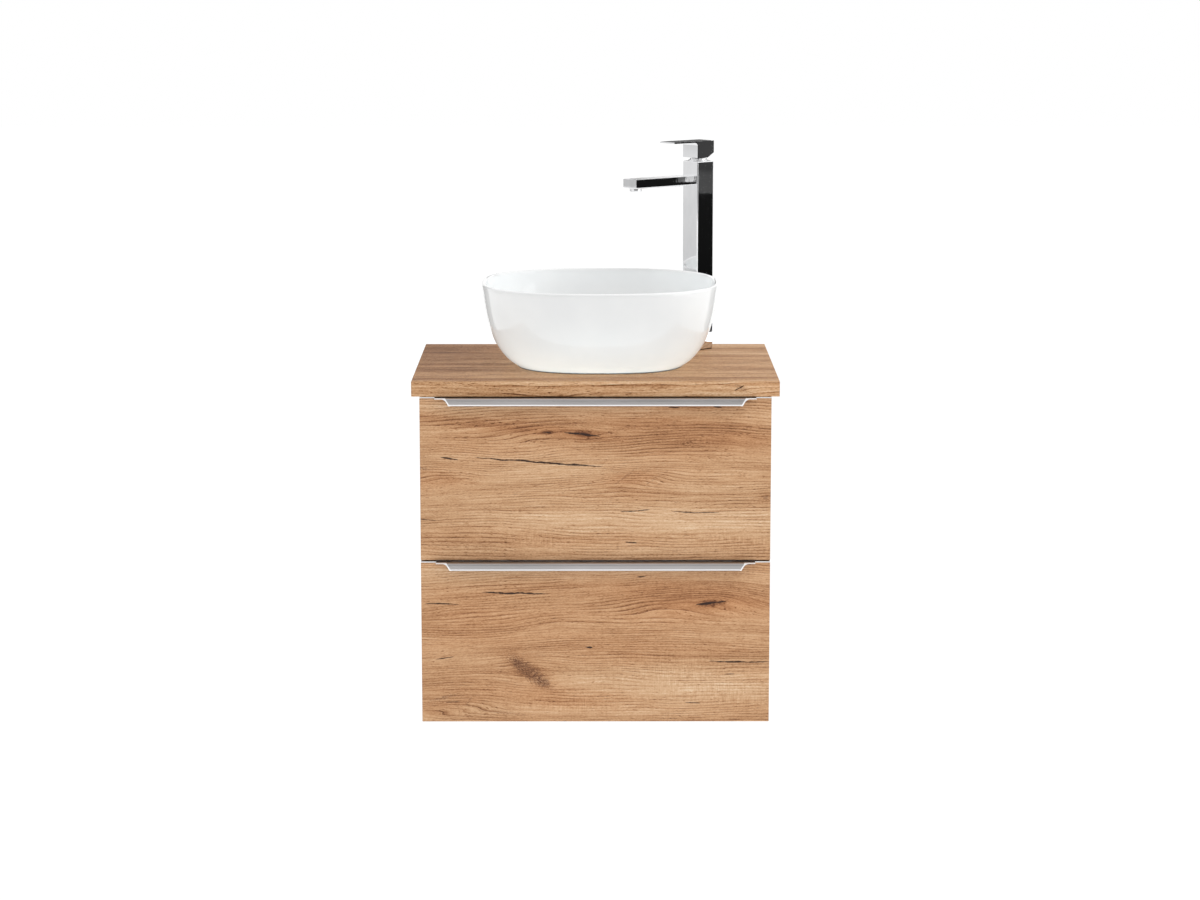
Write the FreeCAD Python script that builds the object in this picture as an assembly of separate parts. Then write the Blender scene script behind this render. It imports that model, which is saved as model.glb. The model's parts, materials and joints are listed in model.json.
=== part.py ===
import FreeCAD
import Part
import os
from math import atan2, cos, degrees, radians, sin, tan

# Wall-hung bathroom vanity: a cabinet with two drawers, a worktop, a round-cornered vessel
# basin with its waste and bottle trap, and a tall square mixer tap with one lever.
# Millimetres. X runs to the right, Y into the wall and Z up. The origin is the middle of the
# four wall screws, on the face of the wall.

# ---------------------------------------------------------------- driving dimensions
# Worktop
TOP_WIDTH = 600.0
TOP_DEPTH = 460.0
TOP_THICK = 25.0
EDGE_ROUND = 0.8            # worn-off arris of the laminated boards

# Cabinet
CABINET_WIDTH = 575.0
CABINET_HEIGHT = 545.0
BOARD = 16.0                # carcass board
FRONT_THICK = 18.0
FRONT_SETBACK = 4.0         # drawer fronts behind the worktop's front edge
FRONT_REVEAL = 0.5          # drawer fronts short of the cabinet, each side
CARCASS_GAP = 2.0           # between the fronts and the carcass
GAP_UNDER_TOP = 3.0         # worktop to the upper front
GAP_BETWEEN = 4.0           # upper front to the lower front
FRONT_RAIL_DEPTH = 80.0
REAR_RAIL_INSET = 20.0      # rear rails in front of the wall
PIPE_UNDER_RAIL = 21.0      # trap's outlet pipe to the rear top rail
REAR_CAM_UP = 10.0          # rear top rail's cams above its lower edge
REAR_LOW_RAIL_HEIGHT = 80.0

# Wall hangers
HANG_DROP = 55.0            # wall screws below the worktop
WALL_SCREW_SPAN = 480.0     # left pair to right pair
WALL_SCREW_RISE = 32.0      # lower screw to upper screw
WALL_HOLE_R = 4.0
PLATE_WIDTH = 60.0
PLATE_THICK = 2.5
PLATE_LIP_BASE = 30.0       # where the lip leaves the plate, above the screws' middle
PLATE_LIP_RISE = 10.0
PLATE_SLOT = 5.0            # between the lip and the plate
HOOK_THICK = 4.0
HOOK_TIP = 3.0
HANGER_THICK = 18.0
HANGER_LENGTH = 60.0
HANGER_HEIGHT = 55.0
HANGER_TOP_GAP = 5.0        # below the worktop
HOOK_HEIGHT = 26.0
HOOK_CLEAR = 1.5

# Drawer boxes
SIDE_THICK = 12.0
BOX_BOTTOM_THICK = 10.0
BOX_BACK_THICK = 12.0
BOX_SIDE_HEIGHT = 150.0
BOX_BACK_DROP = 10.0        # back board below the sides
BOX_BOTTOM_RAISE = 10.0     # bottom board above the sides' lower edge
UPPER_BOX_RAISE = 14.0      # upper box above its front's lower edge
LOWER_BOX_RAISE = 10.0      # lower box above the cabinet's bottom board
PIPE_SPACE = 89.0           # wall to the back of the drawer boxes
WELL_WIDTH = 140.0          # clear width round the trap
WELL_FRONT_CLEAR = 62.0     # drain axis to the well's front board
WELL_THICK = 10.0

# Runners: three nested channels on each side of each drawer
RUNNER_GAP = 13.0
RUNNER_METAL = 1.2
RUNNER_FIXED_HALF = 22.5
RUNNER_MIDDLE_HALF = 17.3
RUNNER_INNER_HALF = 12.1
RUNNER_FIXED_FLANGE = 9.0
RUNNER_MIDDLE_FLANGE = 7.4
RUNNER_INNER_FLANGE = 7.5
RUNNER_MIDDLE_OFFSET = 3.1  # middle channel's web in from the cabinet side
RUNNER_HEIGHT = 45.0        # runner's axis above the box's lower edge
RUNNER_END_CLEAR = 1.0

# Handles: an edge profile on the top of each front
HANDLE_METAL = 1.5
HANDLE_REACH = 15.0         # lip in front of the drawer front
HANDLE_DROP = 13.0          # height of the lip
HANDLE_CORNER = 5.0
HANDLE_BEAD = 1.3           # radius of the rolled lower edge
HANDLE_LEG = 20.0           # leg down the back of the front
HANDLE_NOSE_INSET = 25.0    # end of the nose from the end of the front
HANDLE_LIP_INSET = 48.0     # end of the lip's lower edge from the end of the front
HANDLE_CUT_RADIUS = 10.0
HANDLE_CUT_SLOPE = 60.0     # degrees, of the straight part of the lip's end

# Fasteners
CAM_R = 7.5
CAM_DEPTH = 10.0            # from the board's mid-plane, before it is trimmed flush
CAM_FLOOR = 1.5             # cam below its bolt
CAM_SET = 30.0              # cam's axis from the end of its board
CAM_BOLT_R = 3.5
CAM_BOLT_BITE = 10.0        # bolt into the board it pulls up
SCREW_R = 1.7
SCREW_HEAD_R = 3.5
SCREW_HEAD = 1.0
SCREW_BITE = 10.0
TOP_SCREW_R = 2.0
TOP_SCREW_HEAD_R = 4.5
TOP_SCREW_HEAD = 3.0
TOP_SCREW_BITE = 15.0
ANGLE_WIDTH = 30.0          # angles that hold the worktop at the back
ANGLE_REACH = 20.0
ANGLE_LEG = 25.0
ANGLE_SCREW_SET = 6.5       # screw's axis from the angle's upright leg
HANDLE_SCREWS = (-0.8, 0.0, 0.8)    # places along half the front's width
RUNNER_SCREWS = (0.1, 0.5, 0.9)     # places along the runner

# Basin
BASIN_SIZE = 400.0          # over the rim, both ways
BASIN_HEIGHT = 139.0
BASIN_X = 8.0               # basin right of the cabinet's middle
BASIN_FRONT_GAP = 22.0      # rim behind the worktop's front edge
BASIN_SQUARENESS = 2.6      # superellipse exponent of the plan
BASIN_FOOT_INSET = 57.0     # foot in from the rim
BASIN_RIM_THICK = 8.0
BASIN_RIM_ROUND = 2.5
BASIN_FLOOR = 21.0          # bowl's lowest level above the foot
BASIN_RECESS = 7.0          # hollow under the foot
BASIN_FOOT_RING = 24.0
BASIN_BELLY = (0.32, 0.105)     # outer wall's pull in from the rim, in parts of the foot inset
BASIN_BELLY_RISE = (0.187, 0.504)   # heights of those pulls, in parts of the height
BOWL_BELLY = (1.45, 0.45, 0.12)     # the same for the bowl, from its floor's edge up
BOWL_EDGE_RISE = 4.0        # edge of the bowl's floor above its lowest level
BOWL_TURN_RISE = 6.0
BOWL_HALF_RISE = 0.5
BOWL_FLOOR_SHARE = 0.6      # middle outline of the floor, in parts of its edge
BOWL_FLOOR_SQUARENESS = 2.3
BOWL_FLOOR_RISE = 1.5
SEAL_THICK = 1.0
SEAL_WIDTH = 9.0
SEAL_INSET = 3.0

# Waste
WASTE_R = 21.0
WASTE_BORE_R = 17.5
WASTE_FLANGE_R = 32.0
WASTE_FLANGE = 3.0
WASTE_TAIL = 35.0           # below the worktop
WASTE_HOLE_CLEAR = 1.5
WASTE_SEAT_DEPTH = 3.0
WASTE_WASHER = 3.0
WASTE_NUT = 8.0
WASTE_NUT_R = 29.0
PLUG_R = 31.0
PLUG_EDGE = 3.0
PLUG_DOME = 3.0
PLUG_STEM_R = 4.0
PLUG_STEM = 42.0
PLUG_GAP = 0.4
SPIDER_SLEEVE_R = 7.0
SPIDER_ARM = 3.0
SPIDER_HEIGHT = 14.0
SPIDER_DROP = 14.0
SPIDER_INTO_TUBE = 0.5

# Trap
PIPE_R = 16.0
PIPE_WALL = 1.6
TRAP_NUT_R = 27.0
TRAP_NUT_LIP = 3.5
TRAP_FLANGE = 2.5
BOTTLE_R = 33.0
BOTTLE_WALL = 3.0
TRAP_CLEAR = 33.0           # cup above the upper drawer's bottom board
BOTTLE_HEIGHT = 48.0
CUP_HEIGHT = 42.0
DIP_CLEAR = 20.0            # end of the dip pipe above the cup's floor
NECK_R = 20.0
NECK_LENGTH = 10.0
NECK_NUT_R = 24.5
OUTLET_DROP = 22.0          # outlet's axis below the bottle's shoulder
OUTLET_PAST_WALL = 25.0
DEPTH_MARK = 1.0            # groove that marks how far the pipe goes into the wall
DEPTH_MARK_SINK = 0.3
ROSETTE_R = 32.0
ROSETTE = 10.0
ROSETTE_NECK = 2.0          # rosette's front edge outside the pipe

# Tap
TAP_SIDE = 38.0
TAP_TURN = 50.0             # degrees from square-on to pointing left
TAP_WALL_GAP = 60.0         # tap's axis in front of the wall
TAP_RIM_GAP = 13.5          # tap's nearest corner to the basin's rim, along X
TAP_EDGE = 1.2
TAP_WALL = 4.0
TAP_FLOOR = 12.0
COLUMN_HEIGHT = 329.0
TAP_SEAL = 1.0
SPOUT_WIDTH = 34.0
SPOUT_HEIGHT = 16.5
SPOUT_REACH = 157.0         # tap's axis to the end of the spout
SPOUT_UNDER = 288.0         # spout's underside above the worktop
SPOUT_WALL = 2.0
SPOUT_SPIGOT_R = 6.5
AERATOR_SET = 14.0          # aerator's axis from the end of the spout
AERATOR_R = 10.5
AERATOR_DROP = 5.0
AERATOR_LIP = 1.8
AERATOR_SHY = 1.0           # insert above the housing's lower edge
AERATOR_HOLES = 6
AERATOR_HOLE_R = 1.2
AERATOR_HOLE_RING = 4.5
SHANK_R = 16.0
SHANK_BORE_R = 12.5
SHANK_LENGTH = 50.0         # below the worktop's face
SHANK_HOLE_CLEAR = 1.5
SHANK_WASHER = 3.0
SHANK_WASHER_RIM = 1.0      # washer outside the nut
SHANK_NUT = 9.0
SHANK_NUT_R = 21.0
INLET_R = 5.0
INLET_OFFSET = 6.5          # each inlet's axis from the tap's axis
CARTRIDGE_R = 13.0
CARTRIDGE_DEPTH = 44.0
CARTRIDGE_NUT = 7.0
CARTRIDGE_NUT_BORE = 9.5
COLLAR_R = 17.5
COLLAR_TOP_R = 14.5
COLLAR_HEIGHT = 4.6
COLLAR_BORE_CLEAR = 1.5
ROTOR_R = 8.5
ROTOR_CLEAR = 0.4
ROTOR_DEPTH = 16.0
ROTOR_PROUD = 1.0
PIVOT_DROP = 4.0            # lever's pivot below the top of the column
PIVOT_R = 1.5
PIVOT_CLEAR = 0.06
PIVOT_SHY = 0.8             # pin's ends inside the rotor
STEM_SIDE = 6.0
STEM_CLEAR = 0.4
STEM_BELOW = 7.0
STEM_SWING = 6.4            # half the rotor's slot
LEVER_GAP = 6.0             # column to the lever's block
LEVER_BLOCK = 29.0
LEVER_REACH = 91.0          # back of the block to the tip of the plate
LEVER_PLATE = 2.4
LEVER_ROOT = 6.0            # curve where the plate leaves the block
LEVER_WALL = 2.8
LEVER_ROOF = 8.0
LEVER_BOSS = 7.0            # boss round the stem, below the roof
STEM_INTO_ROOF = 3.0
LEVER_BEVEL_LENGTH = 14.0
LEVER_BEVEL_RISE = 8.5
LEVER_SCREW_R = 2.0
LEVER_SCREW_UP = 14.0       # grub screw below the lever's top
LEVER_SCREW_SET = 1.0       # grub screw's head below the block's back

# ---------------------------------------------------------------- worked-out places
top_under = HANG_DROP
top_face = top_under + TOP_THICK
cabinet_foot = top_under - CABINET_HEIGHT
front_face = -TOP_DEPTH + FRONT_SETBACK
front_back = front_face + FRONT_THICK
carcass_front = front_back + CARCASS_GAP
inner_half = CABINET_WIDTH / 2 - BOARD
front_half = CABINET_WIDTH / 2 - FRONT_REVEAL
front_height = (CABINET_HEIGHT - GAP_UNDER_TOP - GAP_BETWEEN) / 2
upper_front_top = top_under - GAP_UNDER_TOP
lower_front_top = cabinet_foot + front_height
box_half = inner_half - RUNNER_GAP
box_back = -PIPE_SPACE
upper_box_low = upper_front_top - front_height + UPPER_BOX_RAISE
lower_box_low = cabinet_foot + BOARD + LOWER_BOX_RAISE
cup_low = upper_box_low + BOX_BOTTOM_RAISE + BOX_BOTTOM_THICK + TRAP_CLEAR
bottle_low = cup_low + CUP_HEIGHT
shoulder = bottle_low + BOTTLE_HEIGHT
outlet_z = shoulder - OUTLET_DROP
rear_rail_low = outlet_z + PIPE_R + PIPE_UNDER_RAIL
basin_y = -TOP_DEPTH + BASIN_FRONT_GAP + BASIN_SIZE / 2
basin_foot = top_face + SEAL_THICK
screw_rows = [-WALL_SCREW_RISE / 2, WALL_SCREW_RISE / 2]

Vec = FreeCAD.Vector
UP, RIGHT, BACK = Vec(0, 0, 1), Vec(1, 0, 0), Vec(0, 1, 0)
parts = {}


# ---------------------------------------------------------------- shapes used all over
def box(x, y, z):
    """A block between the pairs x, y and z."""
    low = Vec(min(x), min(y), min(z))
    return Part.makeBox(max(x) - low.x, max(y) - low.y, max(z) - low.z, low)


def rod(radius, start, way, length):
    return Part.makeCylinder(radius, length, start, way)


def ring(outer, inner, start, way, length):
    return rod(outer, start, way, length).cut(rod(inner, start, way, length))


def cut_all(shape, tools):
    for tool in tools:
        shape = shape.cut(tool)
    return shape


def eased(shape):
    """The shape with its sharp edges worn off."""
    return shape.makeFillet(EDGE_ROUND, shape.Edges)


def superellipse(half_x, half_y, power, z, points=64):
    """A closed smooth outline |x/a|^n + |y/b|^n = 1 at a height."""
    outline = []
    for i in range(points):
        turn = radians(360.0 * i / points)
        c, s = cos(turn), sin(turn)
        reach = (abs(c) ** power + abs(s) ** power) ** (-1.0 / power)
        outline.append(Vec(half_x * reach * c, half_y * reach * s, z))
    curve = Part.BSplineCurve()
    curve.interpolate(outline, PeriodicFlag=True)
    return Part.Wire([curve.toShape()])


def bezier(t, a, b, c, d):
    u = 1 - t
    return u**3 * a + 3 * u * u * t * b + 3 * u * t * t * c + t**3 * d


# ---------------------------------------------------------------- fasteners
def cam_joint(end, pull, face):
    """A cam, its bolt and the room they take: end is the middle of the board's end, pull the
    way the bolt points and face the way the cam's bore opens."""
    centre = end - pull * CAM_SET
    below = CAM_BOLT_R + CAM_FLOOR
    cam = rod(CAM_R, centre - face * below, face, CAM_DEPTH + below)
    bolt = rod(CAM_BOLT_R, centre, pull, CAM_SET + CAM_BOLT_BITE)
    return cam.cut(bolt), bolt, [cam, bolt]


def wood_screw(start, way, through):
    """A screw whose head lies on start, and which runs through a sheet and on into a board."""
    head = rod(SCREW_HEAD_R, start - way * SCREW_HEAD, way, SCREW_HEAD)
    return head.fuse(rod(SCREW_R, start, way, through + SCREW_BITE))


# ---------------------------------------------------------------- worktop and carcass
def wall_side(hand):
    """The X of one side panel's two faces."""
    return hand * inner_half, hand * CABINET_WIDTH / 2


def carcass_boards():
    deep = (carcass_front, 0.0)
    span = (-inner_half, inner_half)
    rear = (-REAR_RAIL_INSET - BOARD, -REAR_RAIL_INSET)
    boards = {
        "bottom_panel": box(span, deep, (cabinet_foot, cabinet_foot + BOARD)),
        "front_rail": box(span, (carcass_front, carcass_front + FRONT_RAIL_DEPTH),
                          (top_under - BOARD, top_under)),
        "rear_top_rail": box(span, rear, (rear_rail_low, top_under)),
        "rear_low_rail": box(span, rear,
                             (cabinet_foot + BOARD, cabinet_foot + BOARD + REAR_LOW_RAIL_HEIGHT)),
    }
    for hand, side in ((-1, "left"), (1, "right")):
        boards[f"side_panel_{side}"] = box(wall_side(hand), deep, (cabinet_foot, top_under))
    return boards


def carcass_cams():
    """The ends of the cross boards that a cam pulls up to a side panel: board, end, face."""
    quarter = -carcass_front / 4
    places = []
    for share in (1, 3):
        y = carcass_front + share * quarter
        places.append(("bottom_panel", y, cabinet_foot + BOARD / 2, UP))
    places.append(("front_rail", carcass_front + FRONT_RAIL_DEPTH / 2, top_under - BOARD / 2, -UP))
    rear = -REAR_RAIL_INSET - BOARD / 2
    places.append(("rear_top_rail", rear, rear_rail_low + REAR_CAM_UP, -BACK))
    places.append(("rear_low_rail", rear, cabinet_foot + BOARD + REAR_LOW_RAIL_HEIGHT / 2, -BACK))
    return places


def make_carcass():
    boards = carcass_boards()
    fittings = []
    for board, y, z, face in carcass_cams():
        for hand, side in ((-1, "left"), (1, "right")):
            end = Vec(hand * inner_half, y, z)
            cam, bolt, room = cam_joint(end, RIGHT * hand, face)
            fittings += [cam.common(boards[board]), bolt]
            boards[board] = cut_all(boards[board], room)
            panel = f"side_panel_{side}"
            boards[panel] = boards[panel].cut(bolt)
    for hand in (-1, 1):
        notch = hanger_span(hand)
        boards["rear_top_rail"] = boards["rear_top_rail"].cut(
            box(notch, (-REAR_RAIL_INSET - BOARD, -REAR_RAIL_INSET),
                (hook_low() - HOOK_CLEAR, top_under)))
    parts["cam_fittings"] = Part.makeCompound(fittings)
    return boards


def fasten_worktop(boards, worktop):
    """Screws up through the front rail into the worktop, and two angles behind."""
    screws = []
    for x in (-inner_half / 2, inner_half / 2):
        start = Vec(x, carcass_front + FRONT_RAIL_DEPTH / 2, top_under - BOARD)
        head = rod(TOP_SCREW_HEAD_R, start - UP * TOP_SCREW_HEAD, UP, TOP_SCREW_HEAD)
        shank = rod(TOP_SCREW_R, start, UP, BOARD + TOP_SCREW_BITE)
        screws.append(head.fuse(shank))
        boards["front_rail"] = boards["front_rail"].cut(shank)
        worktop = worktop.cut(shank)
    bracket_y = -REAR_RAIL_INSET - BOARD
    for x in (-inner_half / 2, inner_half / 4):
        start = Vec(x, bracket_y - ANGLE_SCREW_SET, top_under)
        shank = rod(TOP_SCREW_R, start - UP * PLATE_THICK, UP, PLATE_THICK + TOP_SCREW_BITE)
        wide = (x - ANGLE_WIDTH / 2, x + ANGLE_WIDTH / 2)
        angle = box(wide, (bracket_y - ANGLE_REACH, bracket_y), (top_under - PLATE_THICK, top_under))
        leg = box(wide, (bracket_y - PLATE_THICK, bracket_y), (top_under - ANGLE_LEG, top_under))
        screws += [shank, angle.fuse(leg).cut(shank)]
        worktop = worktop.cut(shank)
    return worktop, screws


def make_worktop():
    slab = eased(box((-TOP_WIDTH / 2, TOP_WIDTH / 2), (-TOP_DEPTH, 0), (top_under, top_face)))
    drain = rod(WASTE_R + WASTE_HOLE_CLEAR, Vec(BASIN_X, basin_y, top_under), UP, TOP_THICK)
    tap = rod(SHANK_R + SHANK_HOLE_CLEAR, Vec(tap_x, tap_y, top_under), UP, TOP_THICK)
    return slab.cut(drain).cut(tap)


# ---------------------------------------------------------------- wall hangers
def hanger_span(hand):
    """The X of a hanger's two faces."""
    return hand * (inner_half - HANGER_THICK), hand * inner_half


def hook_low():
    return PLATE_LIP_BASE + PLATE_LIP_RISE - HOOK_HEIGHT + 2 * HOOK_TIP


def make_hangers():
    """Hangers in the two upper rear corners, their hooks, and the plates that stay on the wall."""
    lip_top = PLATE_LIP_BASE + PLATE_LIP_RISE
    slot_near = -PLATE_THICK - PLATE_SLOT
    housing_back = -REAR_RAIL_INSET - BOARD
    housing_front = housing_back - HANGER_LENGTH
    hook_front = housing_front + HOOK_TIP
    hook_top = hook_low() + HOOK_HEIGHT
    tip_far = -PLATE_THICK - (PLATE_SLOT - HOOK_TIP) / 2
    plates, hooks, housings = [], [], []
    for hand in (-1, 1):
        x = hand * WALL_SCREW_SPAN / 2
        wide = (x - PLATE_WIDTH / 2, x + PLATE_WIDTH / 2)
        plate = box(wide, (-PLATE_THICK, 0), (-PLATE_LIP_BASE, PLATE_LIP_BASE + PLATE_THICK))
        ledge = box(wide, (slot_near - PLATE_THICK, -PLATE_THICK),
                    (PLATE_LIP_BASE, PLATE_LIP_BASE + PLATE_THICK))
        lip = box(wide, (slot_near - PLATE_THICK, slot_near), (PLATE_LIP_BASE, lip_top))
        plate = plate.fuse(ledge).fuse(lip).removeSplitter()
        for z in screw_rows:
            plate = plate.cut(rod(WALL_HOLE_R, Vec(x, -PLATE_THICK, z), BACK, PLATE_THICK))
        plates.append(plate)

        middle = hand * (inner_half - HANGER_THICK / 2)
        thick = (middle - HOOK_THICK / 2, middle + HOOK_THICK / 2)
        arm = box(thick, (hook_front, slot_near - PLATE_THICK - HOOK_CLEAR), (hook_low(), hook_top))
        beak = box(thick, (hook_front, tip_far), (lip_top, hook_top))
        tip = box(thick, (tip_far - HOOK_TIP, tip_far), (lip_top - PLATE_LIP_RISE / 2, hook_top))
        hook = arm.fuse(beak).fuse(tip).removeSplitter()
        hooks.append(hook)
        housing_top = top_under - HANGER_TOP_GAP
        housing = box(hanger_span(hand), (housing_front, housing_back),
                      (housing_top - HANGER_HEIGHT, housing_top))
        housings.append(housing.cut(hook))
    parts["hanger_housings"] = Part.makeCompound(housings)
    parts["hanger_hooks"] = Part.makeCompound(hooks)
    parts["wall_plates"] = Part.makeCompound(plates)


# ---------------------------------------------------------------- runners
def channel(hand, web, flange, half, z, y):
    """A steel channel lying along Y: web is its outer face from the cabinet's side, and its
    flanges point to the drawer, or to the cabinet where flange is negative."""
    near = hand * (inner_half - web)
    inward = hand * (inner_half - web - RUNNER_METAL)
    tips = hand * (inner_half - web - flange)
    shape = box((near, inward), y, (z - half, z + half))
    for low in (z - half, z + half - RUNNER_METAL):
        shape = shape.fuse(box((near, tips), y, (low, low + RUNNER_METAL)))
    return shape.removeSplitter()


def make_runners(name, box_low, boards, box_sides):
    """The three channels on both sides of one drawer, and the screws that hold the outer two."""
    z = box_low + RUNNER_HEIGHT
    y = (carcass_front + RUNNER_END_CLEAR, box_back)
    fixed, middle, inner, cabinet_screws, drawer_screws = [], [], [], [], []
    for hand, side in ((-1, "left"), (1, "right")):
        outer = channel(hand, 0.0, RUNNER_FIXED_FLANGE, RUNNER_FIXED_HALF, z, y)
        nested = channel(hand, RUNNER_MIDDLE_OFFSET, RUNNER_MIDDLE_FLANGE, RUNNER_MIDDLE_HALF, z, y)
        web = RUNNER_GAP - RUNNER_METAL
        slim = channel(hand, web, RUNNER_METAL - RUNNER_INNER_FLANGE, RUNNER_INNER_HALF, z, y)
        for share in RUNNER_SCREWS:
            at = y[0] + share * (y[1] - y[0])
            out = wood_screw(Vec(hand * (inner_half - RUNNER_METAL), at, z), RIGHT * hand, RUNNER_METAL)
            outer = outer.cut(out)
            boards[f"side_panel_{side}"] = boards[f"side_panel_{side}"].cut(out)
            cabinet_screws.append(out)
            home = wood_screw(Vec(hand * (box_half + RUNNER_METAL), at, z), RIGHT * -hand, RUNNER_METAL)
            slim = slim.cut(home)
            box_sides[side] = box_sides[side].cut(home)
            drawer_screws.append(home)
        fixed.append(outer)
        middle.append(nested)
        inner.append(slim)
    parts[f"{name}_runner_fixed"] = Part.makeCompound(fixed)
    parts[f"{name}_runner_middle"] = Part.makeCompound(middle)
    parts[f"{name}_runner_inner"] = Part.makeCompound(inner)
    return cabinet_screws, drawer_screws


# ---------------------------------------------------------------- drawers
def lip_end_cutter(hand, top, y):
    """What the curved end takes off a handle's lip, beyond the flange, on one side."""
    drop = HANDLE_DROP - HANDLE_METAL
    slope = radians(HANDLE_CUT_SLOPE)
    arc_run, arc_drop = HANDLE_CUT_RADIUS * sin(slope), HANDLE_CUT_RADIUS * (1 - cos(slope))
    straight_run = (drop - arc_drop) / tan(slope)
    foot_x = front_half - HANDLE_LIP_INSET
    start_x = foot_x + straight_run + arc_run
    under = top - HANDLE_METAL
    half_turn = slope / 2
    a = Vec(start_x, y[0], under)
    m = Vec(start_x - HANDLE_CUT_RADIUS * sin(half_turn), y[0],
            under - HANDLE_CUT_RADIUS * (1 - cos(half_turn)))
    b = Vec(start_x - arc_run, y[0], under - arc_drop)
    low = under - drop - 2 * HANDLE_BEAD
    foot = Vec(foot_x - (under - drop - low) / tan(slope), y[0], low)
    out_low, out_high = Vec(front_half, y[0], low), Vec(front_half, y[0], under)
    edges = [Part.Arc(a, m, b).toShape(), Part.LineSegment(b, foot).toShape(),
             Part.LineSegment(foot, out_low).toShape(), Part.LineSegment(out_low, out_high).toShape(),
             Part.LineSegment(out_high, a).toShape()]
    cutter = Part.Face(Part.Wire(edges)).extrude(Vec(0, y[1] - y[0], 0))
    return cutter if hand > 0 else cutter.mirror(Vec(0, 0, 0), RIGHT)


def make_handle(front_top):
    """An aluminium edge profile: a flange over the front, a leg behind it and a lip ahead."""
    top = front_top + HANDLE_METAL
    nose = front_face - HANDLE_REACH
    wide = (-front_half, front_half)
    ahead = (-front_half + HANDLE_NOSE_INSET, front_half - HANDLE_NOSE_INSET)
    flange = box(wide, (front_face, front_back + HANDLE_METAL), (front_top, top))
    leg = box(wide, (front_back, front_back + HANDLE_METAL), (top - HANDLE_LEG, top))
    shelf = box(ahead, (nose + HANDLE_CORNER, front_face), (front_top, top))
    bend_at = Vec(ahead[0], nose + HANDLE_CORNER, top - HANDLE_CORNER)
    bend = ring(HANDLE_CORNER, HANDLE_CORNER - HANDLE_METAL, bend_at, RIGHT, ahead[1] - ahead[0])
    bend = bend.common(box(ahead, (nose, nose + HANDLE_CORNER), (top - HANDLE_CORNER, top)))
    lip_foot = top - HANDLE_DROP + HANDLE_BEAD
    lip = box(ahead, (nose, nose + HANDLE_METAL), (lip_foot, top - HANDLE_CORNER))
    bead = rod(HANDLE_BEAD, Vec(ahead[0], nose + HANDLE_BEAD, lip_foot), RIGHT, ahead[1] - ahead[0])
    lipped = shelf.fuse([bend, lip, bead])
    for hand in (-1, 1):
        lipped = lipped.cut(lip_end_cutter(hand, top, (nose - 1.0, front_face)))
    return lipped.fuse([flange, leg]).removeSplitter()


def make_drawer(name, front_top, box_low, boards, well):
    """One drawer: its front, handle, box and fasteners. well adds the room round the trap."""
    front = eased(box((-front_half, front_half), (front_face, front_back),
                      (front_top - front_height, front_top)))
    handle = make_handle(front_top)
    box_top = box_low + BOX_SIDE_HEIGHT
    long = (front_back, box_back)
    sides = {side: box((hand * (box_half - SIDE_THICK), hand * box_half), long, (box_low, box_top))
             for hand, side in ((-1, "left"), (1, "right"))}
    in_half = box_half - SIDE_THICK
    floor = box_low + BOX_BOTTOM_RAISE
    bottom = box((-in_half, in_half), long, (floor, floor + BOX_BOTTOM_THICK))
    stand = (floor + BOX_BOTTOM_THICK, box_top - BOX_BACK_DROP)
    back_y = (box_back - BOX_BACK_THICK, box_back)
    if well:
        left, right = BASIN_X - WELL_WIDTH / 2, BASIN_X + WELL_WIDTH / 2
        ahead = basin_y - WELL_FRONT_CLEAR
        backs = [box((-in_half, left - WELL_THICK), back_y, stand),
                 box((right + WELL_THICK, in_half), back_y, stand)]
        parts[f"{name}_trap_well"] = Part.makeCompound([
            box((left - WELL_THICK, left), (ahead, box_back), stand),
            box((right, right + WELL_THICK), (ahead, box_back), stand),
            box((left - WELL_THICK, right + WELL_THICK), (ahead - WELL_THICK, ahead), stand)])
    else:
        backs = [box((-in_half, in_half), back_y, stand)]
    cabinet_screws, fasteners = make_runners(name, box_low, boards, sides)
    for hand, side in ((-1, "left"), (1, "right")):
        for share in (0.25, 0.75):
            end = Vec(hand * (box_half - SIDE_THICK / 2), front_back, box_low + share * BOX_SIDE_HEIGHT)
            cam, bolt, room = cam_joint(end, -BACK, RIGHT * -hand)
            fasteners += [cam.common(sides[side]), bolt]
            sides[side] = cut_all(sides[side], room)
            front = front.cut(bolt)
    for share in HANDLE_SCREWS:
        behind = Vec(share * front_half, front_back + HANDLE_METAL, front_top - HANDLE_LEG / 2)
        screw = rod(SCREW_HEAD_R, behind, -BACK, HANDLE_METAL).fuse(
            rod(SCREW_R, behind, -BACK, HANDLE_METAL + SCREW_BITE))
        fasteners.append(screw)
        front = front.cut(screw)
        handle = handle.cut(screw)
    parts[f"{name}_front"] = front
    parts[f"{name}_handle"] = handle
    parts[f"{name}_side_left"], parts[f"{name}_side_right"] = sides["left"], sides["right"]
    parts[f"{name}_bottom"] = bottom
    parts[f"{name}_back"] = Part.makeCompound(backs)
    parts[f"{name}_fasteners"] = Part.makeCompound(fasteners)
    return cabinet_screws


# ---------------------------------------------------------------- basin
def basin_outer(t):
    """Half-size and height of the outer wall, t from 0 at the foot to 1 at the rim."""
    rim, foot = BASIN_SIZE / 2, BASIN_SIZE / 2 - BASIN_FOOT_INSET
    pulls = [rim - share * BASIN_FOOT_INSET for share in BASIN_BELLY]
    rises = [share * BASIN_HEIGHT for share in BASIN_BELLY_RISE]
    return bezier(t, foot, *pulls, rim), bezier(t, 0.0, *rises, BASIN_HEIGHT)


def basin_inner(t):
    """The same for the bowl, t from 0 at the edge of its floor to 1 at the rim."""
    rim = BASIN_SIZE / 2 - BASIN_RIM_THICK
    low = BASIN_FLOOR + BOWL_EDGE_RISE
    pulls = [rim - share * BASIN_FOOT_INSET for share in BOWL_BELLY]
    height = bezier(t, low, low + BOWL_TURN_RISE, BOWL_HALF_RISE * BASIN_HEIGHT, BASIN_HEIGHT)
    return bezier(t, *pulls, rim), height


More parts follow.
